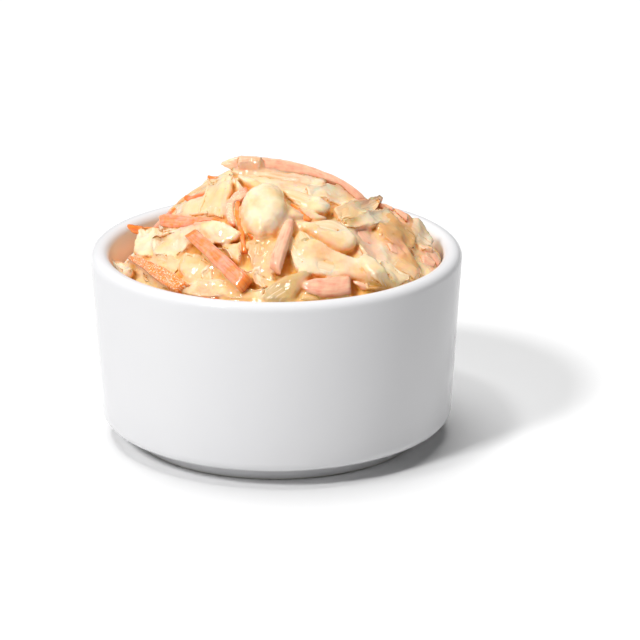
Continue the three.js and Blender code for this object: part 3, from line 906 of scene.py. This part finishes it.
# ---- Cabbage shreds ----
# White cabbage sliced fine: pale straps with a rib or two along them, glassy where they are thin.
# They lie limp over one another, some in fans, and the dressing holds them.
SHREDS = [
    # The tip at the very top.
    {"ribs": [(222, 163, 4, 222.5, 164, 4), (228, 159.5, 3.8, 230, 168.5, 3.2),
        (236, 157, 3.6, 236, 172, 2.6), (241, 156, 3.4, 240, 171, 2.2)],
     "thick": 0.9, "root": 1.2, "stands": True},
    # The cut end beside the tip.
    {"ribs": [(239, 156, 2.8, 239, 170.5, 1.6), (250, 155.3, 2.6, 250, 170.5, 1.2),
        (263, 157, 2.4, 262, 172.5, 0.6)],
     "thick": 1.2, "square": 2.4, "root": 1.5, "tone": 0.35, "stands": True},
    # The broad sheet under the long stick.
    {"ribs": [(231, 170.5, 2, 236, 177, 1), (250, 170.5, 1.2, 250, 178.5, 0),
        (268, 171, 0.6, 266, 184, -1.2), (286, 172, 0, 286, 188.5, -2.4),
        (305, 174.5, -0.8, 304, 190, -3.2), (328, 181, -2.2, 322, 192, -4)],
     "thick": 1, "square": 2.4, "stands": True},
    # A thin shred below the sheet.
    {"ribs": [(240, 173, 2.6, 238, 179, 2.2), (252, 179, 2.4, 247, 185, 1.9),
        (265, 185.5, 2.2, 259, 190.5, 1.8), (279, 191, 1.8, 272, 195, 1.4)],
     "thick": 0.9, "square": 2.2, "root": 1.2},
    # A short shred across its end.
    {"ribs": [(230, 174, 2.6, 233, 178, 2.4), (236, 184, 2.4, 241, 186, 2),
        (240, 196, 1.8, 246, 194, 1.6)], "thick": 0.8, "square": 2.2, "root": 1.2},
    # The upper fan at the left.
    {"ribs": [(209, 178, 2.2, 234, 176, 3), (208, 188, 2, 231, 189, 2.6),
        (204, 201, 1.7, 227, 204, 2.2), (198, 214, 1.4, 224, 218, 1.6)],
     "thick": 0.7, "square": 4, "tone": 0.95, "pleats": 7},
    # The lower fan at the left.
    {"ribs": [(212, 193, 1.6, 209, 214, 1.5), (199, 198, 1.8, 194, 216, 1.5),
        (187, 203, 1.6, 182, 217, 1.3), (179, 207, 1.2, 176, 218, 1)],
     "thick": 0.7, "square": 4, "tone": 0.95, "pleats": 5},
    # The pale shred at the front left.
    {"ribs": [(186, 225, 1.4, 192, 232, 1.2), (200, 223, 2.2, 204, 238, 1.8),
        (215, 222.5, 2.8, 216, 243.5, 2), (228, 225.5, 3, 228, 242, 2.2),
        (239, 233, 2.6, 238, 236.5, 2.4)],
     "thick": 0.6, "square": 4, "root": 1.6, "tone": 0.6, "fold": 0.7, "curl": 0.5},
    # The pale shred at the front left rim.
    {"ribs": [(180, 291, 1.2, 182, 293, 1.2), (192, 284.5, 1.8, 195, 296, 1.6),
        (207, 281.5, 2, 212, 297, 1.6), (222, 280.5, 2, 226, 295.5, 1.6),
        (236, 284, 1.6, 236, 291, 1.4)], "thick": 0.6, "square": 4, "fold": 0.7, "curl": 0.4},
    # The glassy shred at the front rim.
    {"ribs": [(263, 299, 1.6, 270, 303, 1.2), (268, 288, 2, 287, 301, 1.4),
        (280, 279.5, 2.2, 298, 293.5, 1.6), (295, 274.5, 2.2, 304, 284.5, 1.8),
        (311, 273, 2, 312, 275.5, 1.8)], "thick": 1, "square": 2.6, "glassy": 0.8},
    # A glassy bit beside it.
    {"ribs": [(303, 292, 1.4, 300, 301, 1), (310, 293.5, 1.4, 312, 303, 1),
        (319, 298.5, 1, 320, 303, 0.8)], "thick": 0.8, "square": 2.6, "root": 1, "glassy": 0.8},
    # The thick shred right of the middle.
    {"ribs": [(299, 222, 2, 301, 229, 1.2), (316, 221.5, 2.8, 315, 236, 1.4),
        (333, 220.5, 3.4, 328, 244.5, 1.6), (345, 226, 3.6, 338, 250, 1.6),
        (352, 234, 3.4, 347, 250.5, 1.8), (356.5, 241.5, 2.8, 354, 247.5, 2.2)],
     "thick": 0.9, "square": 2.6, "root": 1.8},
    # The strap that runs down from it.
    {"ribs": [(366, 253.5, 4, 357, 260, 4), (374, 261.5, 4.6, 365, 268, 4.6),
        (382, 270, 4.9, 373, 276.5, 4.9), (389.5, 279, 4.8, 380.5, 284.5, 4.8),
        (393, 286.5, 4.2, 387, 290, 4.2)],
     "thick": 1.1, "root": 1.2, "tone": 0.7, "knots": 0.3, "fold": 0.1},
    # A thin shred along the strap.
    {"ribs": [(350, 231, 1.6, 347.5, 232.5, 1.2), (358, 242, 2, 355.5, 244, 1.6),
        (372, 260, 2, 369, 262, 1.6), (386, 278, 2, 383, 279.5, 1.6), (395, 288, 1.6, 392, 288.5, 1.2)],
     "thick": 0.6, "square": 2.2, "root": 1.2},
    # The blunt shred under the sheet.
    {"ribs": [(283, 190, 2, 287, 198, 1.2), (298, 191.5, 2.2, 298, 205, 1.4),
        (312, 196, 2.6, 310, 211.5, 1.6), (323, 200.5, 2.8, 321, 213.5, 2),
        (331, 206, 2.2, 329, 212, 1.8)], "thick": 0.8, "square": 2.6, "root": 1.6},
    # A shorter one below it.
    {"ribs": [(299, 208, 1.4, 301, 212.5, 1.2), (308, 211.5, 1.8, 308, 217, 1.6),
        (317, 216, 1.8, 315, 222, 1.6), (327, 219, 1.4, 324, 223, 1.2)],
     "thick": 0.8, "square": 2.4, "root": 1.2},
    # A glassy bit on the broad leaf.
    {"ribs": [(302, 240.5, 2.2, 312, 237, 2.2), (293, 246, 2, 318.5, 243, 2.4),
        (294, 254, 2, 319, 252, 2.4), (304, 259.5, 2, 315, 258, 2.2)],
     "thick": 0.8, "square": 2.2, "root": 1.2, "glassy": 0.9},
    # A thin shred on the right flank.
    {"ribs": [(394, 243, 1.4, 390, 247, 1.2), (404, 254, 1.6, 400, 258, 1.4),
        (416, 268, 1.4, 411, 272, 1.2)], "thick": 0.35, "square": 2.4, "root": 1, "tone": 0.1},
    # Another one beside it.
    {"ribs": [(400, 242, 1.6, 397, 245, 1.4), (410, 253, 1.8, 407, 257, 1.5),
        (421, 268, 1.4, 416, 271, 1.2)], "thick": 0.35, "square": 2.4, "root": 1, "tone": 0.1},
    # A short shred at the right rim.
    {"ribs": [(398, 258, 1.2, 392, 266, 1), (409, 264, 1.6, 404, 273, 1.4),
        (419, 272, 1.2, 414, 280, 1)], "thick": 0.4, "square": 2.4, "root": 1, "tone": 0.3},
]
SHRED = {"fold": 0.4, "ragged": 0.2}
SHRED_SEED = 40
VEIN = (0.99, 0.82, 0.62)

shreds = new_pieces()
for count, shred in enumerate(SHREDS):
    stretch(shreds, {**SHRED, **shred}, SHRED_SEED + count, across=8)
for seed, shred in at_back["shred"]:
    lie(shreds, shred, seed)
cabbage_shreds = finish_mesh("cabbage_shreds", shreds.copy())

cabbage, tree, surface = new_material("cabbage", PALE_CREAM, 0.3)
place = read(tree, "grain")
rib = mottle(tree, scaled(tree, place, (0.15, 1, 1)), 0.9)
fine = spread(tree, mottle(tree, place, 2.6, 2), 0, 1, 0, 0.35)
veins = mottle(tree, scaled(tree, place, (0.12, 1.8, 1)), 1, 2)
colour = tinted(tree, cream_colour(tree, rib), [(veins, 0.54, 0.62, 0.55, VEIN)])
tree.links.new(colour, surface.inputs["Base Color"])
tree.links.new(spread(tree, rib, 0.3, 0.7, 0.22, 0.4), surface.inputs["Roughness"])
rough_skin(tree, surface, calculate(tree, "ADD", rib, fine), 0.7, 0.5)
wet(surface, 0.35, 0.15, (1.0, 1.0, 1.0), 0.11)
cabbage_shreds.data.materials.append(cabbage)
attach(cabbage_shreds, "root")
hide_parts("coleslaw")

# ---- Cabbage leaves ----
# Broader cuts of the thin outer leaf, ruffled and soft, that drape over what is under them. Their
# edges are torn and curl up a little.
LEAVES = [
    # Under the end of the long stick.
    {"ribs": [(307, 187, 2.2, 308, 197, 1.2), (322, 186, 3, 322, 200, 1.4),
        (337, 185.8, 3.4, 334, 205, 1.4), (347, 191.5, 3, 346, 209, 1.4),
        (355, 199, 2.4, 354, 207, 1.4)]},
    # The crest at the right.
    {"ribs": [(336, 210.5, 1.6, 339, 222, 1.2), (348, 205, 2.2, 350, 219.5, 1.8),
        (360, 202.5, 2.6, 362, 216, 2), (371, 200, 2.8, 374, 211, 2.2),
        (381.5, 198.8, 3, 379, 205, 2.6)], "tone": 0.35},
    # Below the crest.
    {"ribs": [(342, 221, 1.6, 347, 228, 1.2), (358, 217, 2.2, 362, 227, 1.6),
        (374, 212, 2.4, 378, 225, 1.8), (386, 209.5, 2.2, 392, 223, 1.4),
        (393, 210, 1.8, 399, 218, 1.2)]},
    # The large leaf on the right flank, whose low tone paints brown shade on it.
    {"ribs": [(376, 222, 1.8, 380, 236, 1.4), (388, 214, 2.2, 392, 244, 1.8),
        (399, 214, 2.2, 404, 250, 1.7), (408, 219, 1.8, 415, 254, 1.4)],
     "fold": 1.3, "curl": 0.2, "tone": 0.05},
    # The right edge.
    {"ribs": [(409, 222, 0.8, 409, 236, 0.6), (417, 220.5, 1.5, 417, 246, 1.2),
        (424, 229, 2.2, 424, 251, 1.9), (431, 239, 2.9, 430, 252, 2.6)], "curl": 0.3},
    # The upright leaf at the far left.
    {"ribs": [(143, 229.5, -3, 160, 229, -4), (139, 237, -4.5, 164, 238, -9),
        (136.5, 247, -7, 160, 250, -12.5), (135.5, 254, -9, 160, 261, -17)], "stands": True},
    # The folded leaf at the left.
    {"ribs": [(162, 234.5, 3.5, 182, 230.5, 1.6), (155, 239, 2.2, 190, 238, 1.8),
        (153.5, 248, 2.2, 189, 249, 1.8), (157, 257, 1.6, 180, 256, 1.2)]},
    # A flap on top of it.
    {"ribs": [(164, 230, 3.5, 186, 229, 1.4), (166, 235, 1.8, 190, 231, 1.6),
        (172, 239, 1.4, 192, 236, 1.2)], "curl": 0.1, "ragged": 0.4},
    # Left of the baton.
    {"ribs": [(188, 252, 1.8, 214, 265, 1.2), (182.5, 260, 2, 214, 272, 1.4),
        (181.5, 270, 1.8, 212, 281, 1.2), (184, 281, 1.4, 205, 284, 1)], "tone": 0.35},
    # A torn bit under the baton.
    {"ribs": [(215, 262, 1.2, 226, 272, 1), (207, 268, 1.6, 225, 280, 1.2),
        (203, 278, 1.2, 215, 283, 1)]},
    # Between the baton and the coated stick.
    {"ribs": [(248, 242, 1.8, 278, 240, 1.4), (250, 254, 2, 276, 255, 1.8),
        (253, 266, 2, 272, 268, 1.8), (256, 270, 1.4, 268, 270, 1.4)], "tone": 0.2},
    # A torn bit right of the baton.
    {"ribs": [(224, 246, 1.2, 240, 244, 1), (230, 256, 1.6, 240, 252, 1.4),
        (238, 264, 1.2, 242, 258, 1.2)], "tone": 0.3},
    # Below the coated stick.
    {"ribs": [(256, 272, 1.2, 272, 274, 1.2), (254, 280, 1.6, 275, 278, 1.4),
        (262, 290, 1.4, 272, 284, 1.2)], "tone": 0.2},
    # Beside the strap.
    {"ribs": [(383, 262, 1.2, 378, 268, 1), (394, 268, 1.6, 388, 277, 1.2),
        (410, 280, 1.2, 396, 287, 1)], "tone": 0.9},
    # Under the left end of the grainy stick.
    {"ribs": [(131, 262, 1, 128, 266, 1), (133, 262, 1.2, 133, 271, 1), (141, 262, 1.2, 146, 277, 1),
        (150, 270, 1, 158, 283, 0.8)]},
    # Against the wall at the far left.
    {"ribs": [(113, 263, -8, 118, 264, -10), (117, 267, -12, 127, 266, -13),
        (124, 273, -17, 134, 272, -18)], "stands": True},
    # The broad leaf across the front right.
    {"ribs": [(300, 231, 1.8, 290, 250, 1.6), (312, 239, 2.5, 297, 270, 2.2),
        (325, 247.5, 2.7, 312, 274.5, 2.4), (338, 254, 2.7, 328, 277.5, 2.4),
        (352, 259, 2.6, 345, 277, 2.4), (364, 266.5, 2.7, 360, 279, 2.5),
        (379.5, 282, 2.6, 378, 284.5, 2.4)],
     "thick": 0.7, "fold": 0.5, "curl": 0.3, "ragged": 0.25, "tone": 0.42},
    # In front of the grainy stick.
    {"ribs": [(140, 268, 1.4, 146, 280, 1.0), (155, 276, 1.4, 161, 288, 1.0),
        (170, 286, 1.2, 176, 293, 1)]},
    # Behind the middle of the grainy stick.
    {"ribs": [(160, 254, 1.6, 152, 262, 1.2), (172, 257, 1.6, 168, 270, 1.2),
        (183, 262, 1.4, 178, 276, 1.0)], "tone": 0.9},
    # At the front rim.
    {"ribs": [(222, 293, 1, 224, 300, 0.6), (242, 289, 1.4, 243, 300, 0.8),
        (262, 291, 1.2, 263, 300, 0.8)], "tone": 0.35},
    # At the front right rim.
    {"ribs": [(362, 286, 1.4, 366, 291, 1), (376, 284, 1.6, 380, 292, 1.2),
        (392, 284, 1.4, 396, 291, 1)], "tone": 0.3},
    # Under the end of the baton.
    {"ribs": [(228, 266, 1.2, 222, 274, 1), (246, 272, 1.4, 240, 284, 1.1),
        (262, 268, 1.2, 256, 282, 1)]},
]
LEAF = {"thick": 0.45, "square": 5, "root": 1.6, "lump": 0.12, "fold": 0.8, "ragged": 0.8, "curl": 0.6}
LEAF_SEED = 80

leaves = new_pieces()
for count, leaf in enumerate(LEAVES):
    stretch(leaves, {**LEAF, **leaf}, LEAF_SEED + count, across=14)
for seed, leaf in at_back["leaf"]:
    lie(leaves, leaf, seed, across=12)
cabbage_leaves = finish_mesh("cabbage_leaves", leaves.copy())
cabbage_leaves.data.materials.append(cabbage)
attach(cabbage_leaves, "root")
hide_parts("coleslaw")

# ---- Dressed bed ----
# Mayonnaise dressing binds the heap: it fills the gaps between the pieces and stands in smooth lumps,
# uneven with chopped cabbage. It is fused from the shapes of the pieces, which lets it lie close round
# each of them, and then sinks a little below the ones that stand proud of it.
DRESSING = [
    # The large lump high at the front.
    {"ribs": [(258, 190.5, 2.6, 279, 190.5, 2.4), (248, 196, 3, 285, 198, 2.6),
        (242.5, 204, 3, 288, 207, 2.8), (241.5, 213, 3.2, 288, 215, 2.8),
        (243, 223, 3.2, 285, 223, 2.8), (248, 231, 3, 280, 231, 2.8), (256, 238, 2.8, 273, 237, 2.6)],
     "thick": 4.1, "square": 2.1, "root": 2, "fold": 0.4, "taper": 0.5},
    # The run at its right side.
    {"ribs": [(278, 196, 2, 276, 224, 1.6), (286, 202, 2, 285, 223.5, 1.8),
        (295, 209.5, 1.6, 296, 221, 1.6), (302, 216, 1.2, 303, 223, 1.2)],
     "thick": 1.4, "square": 2, "root": 2},
]
DRESSING_LUMP = {"lump": 0.25, "fold": 0.7, "ragged": 0.4}
DRESSING_SEED = 200
# Dips between the pieces: column, row, radius and depth.
DIPS = [(289, 266, 2.2, 1.3), (228, 244, 2.4, 1.2), (256, 289, 2.4, 1.6), (247, 259, 1.8, 1.2),
        (349, 253, 1.3, 2.2), (353, 288, 1.3, 2), (424, 275, 1.5, 2), (272, 238, 2, 1.4),
        (168, 262, 1.8, 1.2), (243, 226, 1.4, 1.4), (330, 215, 1.8, 1.2), (376, 226, 1.8, 1.2),
        (345, 206, 1.6, 1.8)]
DIP_LIFT = 1
CHOPPED_DRAWS = 7
CHOPPED_SEED = 300
CHOPPED_COUNT = 230
CHOPPED_REACH = 37
CHOPPED_LENGTH = (4, 9)
CHOPPED_WIDTH = (1.6, 3.4)
CHOPPED_THICK = (0.5, 0.9)
CHOPPED_LIFT = (-0.3, 0.7)
CHOPPED_ROLL = (-40, 40)
CHOPPED_SWAY = (-1, 1)
BED_BOTTOM = 33
BED_COAT = 0.85
VOXEL = 0.42
FACING_DOWN = -0.99
FILL_STEPS = 8
FILL_SHARE = 0.8
WEAR_SHARE = 0.12
COVER_REACH = 0.8
FILM_UNEVEN = 0.16
FILM_GRAIN = 2.6
CABBAGE_COVER = 0.1
COVER_UNEVEN = 0.6
COVER_PATCH = 6
CARROT_BARED = 0.2

dips = [(place_seen(column, row, DIP_LIFT, False), *size) for column, row, *size in DIPS]
bedding = new_pieces()
for count, lump in enumerate(DRESSING):
    stretch(bedding, {**DRESSING_LUMP, **lump}, DRESSING_SEED + count, across=16)
draw = Draws(CHOPPED_DRAWS)
for count in range(CHOPPED_COUNT):
    middle = spiral_place(count, CHOPPED_COUNT, CHOPPED_REACH)
    half = draw(CHOPPED_LENGTH) / 2
    reach = drawn_heading(draw, half)
    bit = {
        "from": (*(middle - reach), draw(CHOPPED_LIFT)),
        "to": (*(middle + reach), draw(CHOPPED_LIFT)),
        "width": draw(CHOPPED_WIDTH),
        "thick": draw(CHOPPED_THICK),
        "roll": draw(CHOPPED_ROLL),
        "sway": draw(CHOPPED_SWAY),
        "square": 2.4,
        "along": 8,
    }
    clear = all((dip.xy - middle).length > radius + half / 2 for dip, radius, _ in dips)
    if clear and (middle.y > BACK_EDGE or count % 3 == 0):
        lie(bedding, bit, CHOPPED_SEED + count, across=4)

bed_shape = bare_heap(BED_BOTTOM, BED_COAT, dips)
for shape in (carrots, shreds, leaves, bedding):
    copied = bpy.data.meshes.new("copied")
    shape.to_mesh(copied)
    bed_shape.from_mesh(copied)
    bpy.data.meshes.remove(copied)
bedding.free()
bed = finish_mesh("dressed_bed", bed_shape)
fuse = bed.modifiers.new("fuse", "REMESH")
fuse.mode = "VOXEL"
fuse.voxel_size = VOXEL * MM
fused = bpy.data.meshes.new_from_object(bed.evaluated_get(bpy.context.evaluated_depsgraph_get()))
bed.modifiers.clear()
bed.data = fused


def one_face_below(mesh, height):
    """Joins the flat underside of a mesh, where nothing shows, into a single face."""
    shape = bmesh.new()
    shape.from_mesh(mesh)
    low = [face for face in shape.faces if face.calc_center_bounds().z < height]
    underside = [face for face in low if face.normal.z < FACING_DOWN]
    bmesh.ops.dissolve_faces(shape, faces=underside, use_verts=True)
    shape.to_mesh(mesh)
    shape.free()


one_face_below(fused, (BED_BOTTOM + VOXEL) * MM)


def numbers_of(group, name, width, kind=np.float32):
    values = np.zeros(len(group) * width, kind)
    group.foreach_get(name, values)
    return values.reshape(-1, width)


def keep_fact(placed, name, values):
    """Stores three numbers for every point of a piece, for its finish to read."""
    fact = placed.data.attributes.new(name, "FLOAT_VECTOR", "POINT")
    fact.data.foreach_set("vector", np.stack(values, 1).astype(np.float32).ravel())


def mean_of_neighbours(points, first, second, joined):
    total = np.zeros_like(points)
    for near, far in ((first, second), (second, first)):
        for axis in range(3):
            total[:, axis] += np.bincount(near, points[far, axis], len(points))
    return total / joined[:, None]


# The dressing creeps into every valley and hardly wears the ridges.
bed_points = numbers_of(fused.vertices, "co", 3)
first, second = numbers_of(fused.edges, "vertices", 2, np.int32).T
joined = np.bincount(np.concatenate([first, second]), minlength=len(bed_points))
for _ in range(FILL_STEPS):
    shift = mean_of_neighbours(bed_points, first, second, joined) - bed_points
    outward = (shift * numbers_of(fused.vertices, "normal", 3)).sum(1)
    bed_points += shift * np.where(outward > 0, FILL_SHARE, WEAR_SHARE)[:, None]
    fused.vertices.foreach_set("co", bed_points.ravel())
    fused.update()

# It lies over cabbage and has run off the carrots, which stand a little proud of it.
kinds = {}
for name, shape in (("carrot", carrots), ("shred", shreds), ("leaf", leaves)):
    shape.faces.ensure_lookup_table()
    kinds[name] = (BVHTree.FromBMesh(shape), shape, shape.verts.layers.float_vector["look"])


def nearest_piece(name, point):
    """How far a point is from a kind of piece, and the look of the nearest one."""
    tree, shape, look = kinds[name]
    index, distance = tree.find_nearest(point)[2:]
    return distance, shape.faces[index].verts[0][look].copy()


normals = numbers_of(fused.vertices, "normal", 3)
cabbage_facts = np.zeros((len(bed_points), 3), np.float32)
for index, point in enumerate(bed_points / MM):
    to_carrot = nearest_piece("carrot", point)[0]
    cabbages = [nearest_piece(name, point) for name in ("shred", "leaf")]
    to_cabbage, look = min(cabbages, key=lambda found: found[0])
    closeness = max(0, 1 - to_cabbage / COVER_REACH)
    rise = FILM_UNEVEN * rough(Vector(point) / FILM_GRAIN)
    rise += closeness * (CABBAGE_COVER + COVER_UNEVEN * noise.noise(Vector(point) / COVER_PATCH))
    rise -= CARROT_BARED * max(0, 1 - to_carrot / COVER_REACH)
    bed_points[index] += normals[index] * rise * MM
    cabbage_facts[index] = (closeness, look.y * closeness, 0.5 + (look.z - 0.5) * closeness)
fused.vertices.foreach_set("co", bed_points.ravel())
fused.update()
fused.polygons.foreach_set("use_smooth", [True] * len(fused.polygons))
keep_fact(bed, "look", cabbage_facts.T)
for shape in (carrots, shreds, leaves):
    shape.free()
bed.data.materials.append(dressing)
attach(bed, "root")
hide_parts("coleslaw")

# ---- Painted shade and stains in the salad ----
# Shade is painted into the gaps between the pieces, golden to brown, and the dressing is stained by
# the carrot. Each point of the salad keeps how deep it lies, how near it is to a carrot or a stained
# spot, and how closely its neighbours shut it in, for the finishes to read.
SPOT_LIFT = 1.5
# Stained spots: column, row and radius.
SPOTS = [(326, 251, 3.2), (145, 251, 1.8), (364, 240, 3), (371, 250, 2), (394, 249, 1.8),
         (362, 281, 2.4), (430, 262, 2.4), (300, 283, 1.6), (205, 293, 3), (236, 292, 2.4),
         (290, 180, 5), (250, 178, 3)]
CELL = 0.5
GRID_SIDE = 180
BLUR_CELLS = 6
HOLLOW_RANGE = (0.2, 3.2)
STAIN_REACH = 1.4
FEELER_REACH = 3
FEELER_START = 0.12
FEELER_COUNT = 6
FEELER_TILT = math.radians(52)
LOWEST_SEEN = 36

salad = [bed, packed_salad, carrot_sticks, cabbage_shreds, cabbage_leaves]


def cells_of(points):
    cells = np.clip((points[:, :2] / CELL + GRID_SIDE / 2).astype(int), 0, GRID_SIDE - 1)
    return cells[:, 0], cells[:, 1]


surface_height = np.full((GRID_SIDE, GRID_SIDE), -1.0)
for placed in salad:
    points = numbers_of(placed.data.vertices, "co", 3) / MM
    np.maximum.at(surface_height, cells_of(points), points[:, 2])
filled = surface_height > 0
total = np.where(filled, surface_height, 0)
weight = filled.astype(float)
for axis in (0, 1):
    total = sum(np.roll(total, shift, axis) for shift in range(-BLUR_CELLS, BLUR_CELLS + 1))
    weight = sum(np.roll(weight, shift, axis) for shift in range(-BLUR_CELLS, BLUR_CELLS + 1))
general_height = total / np.maximum(weight, 1)
spots = [(np.array(place_seen(*spot[:2], SPOT_LIFT, False)), spot[2]) for spot in SPOTS]
all_points = []
all_faces = []
for placed in salad:
    start = len(all_points)
    all_points += [vertex.co / MM for vertex in placed.data.vertices]
    all_faces += [[start + corner for corner in face.vertices] for face in placed.data.polygons]
around = BVHTree.FromPolygons(all_points, all_faces)


def shut_in(placed, points):
    """For each point, how much of a ring of short feelers is stopped by what stands around it; shade is
    painted by it.
    """
    share = np.zeros(len(points))
    turns = [math.tau * count / FEELER_COUNT for count in range(FEELER_COUNT)]
    for index, vertex in enumerate(placed.data.vertices):
        if points[index, 2] < LOWEST_SEEN:
            continue
        point, normal = Vector(points[index]), vertex.normal
        first_side = normal.orthogonal().normalized() * math.sin(FEELER_TILT)
        second_side = normal.cross(first_side)
        ahead = normal * math.cos(FEELER_TILT)
        for turned in turns:
            feeler = ahead + first_side * math.cos(turned) + second_side * math.sin(turned)
            distance = around.ray_cast(point + normal * FEELER_START, feeler, FEELER_REACH)[3]
            if distance is not None:
                share[index] += (1 - distance / FEELER_REACH) / FEELER_COUNT
    return share


for placed in salad:
    points = numbers_of(placed.data.vertices, "co", 3) / MM
    below = general_height[cells_of(points)] - points[:, 2]
    painted_hollow_shade = np.clip((below - HOLLOW_RANGE[0]) / (HOLLOW_RANGE[1] - HOLLOW_RANGE[0]), 0, 1)
    near = np.array([kinds["carrot"][0].find_nearest(point)[3] for point in points])
    stain = np.exp(-((near / STAIN_REACH) ** 2))
    for spot, radius in spots:
        stain = np.maximum(stain, np.exp(-(((points - spot) ** 2).sum(1) / radius**2)))
    keep_fact(placed, "depth", (painted_hollow_shade, stain, shut_in(placed, points)))

boxes = {"cad": cad_box, "visual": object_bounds()}
{name: [list(corner) for corner in box] for name, box in boxes.items()}
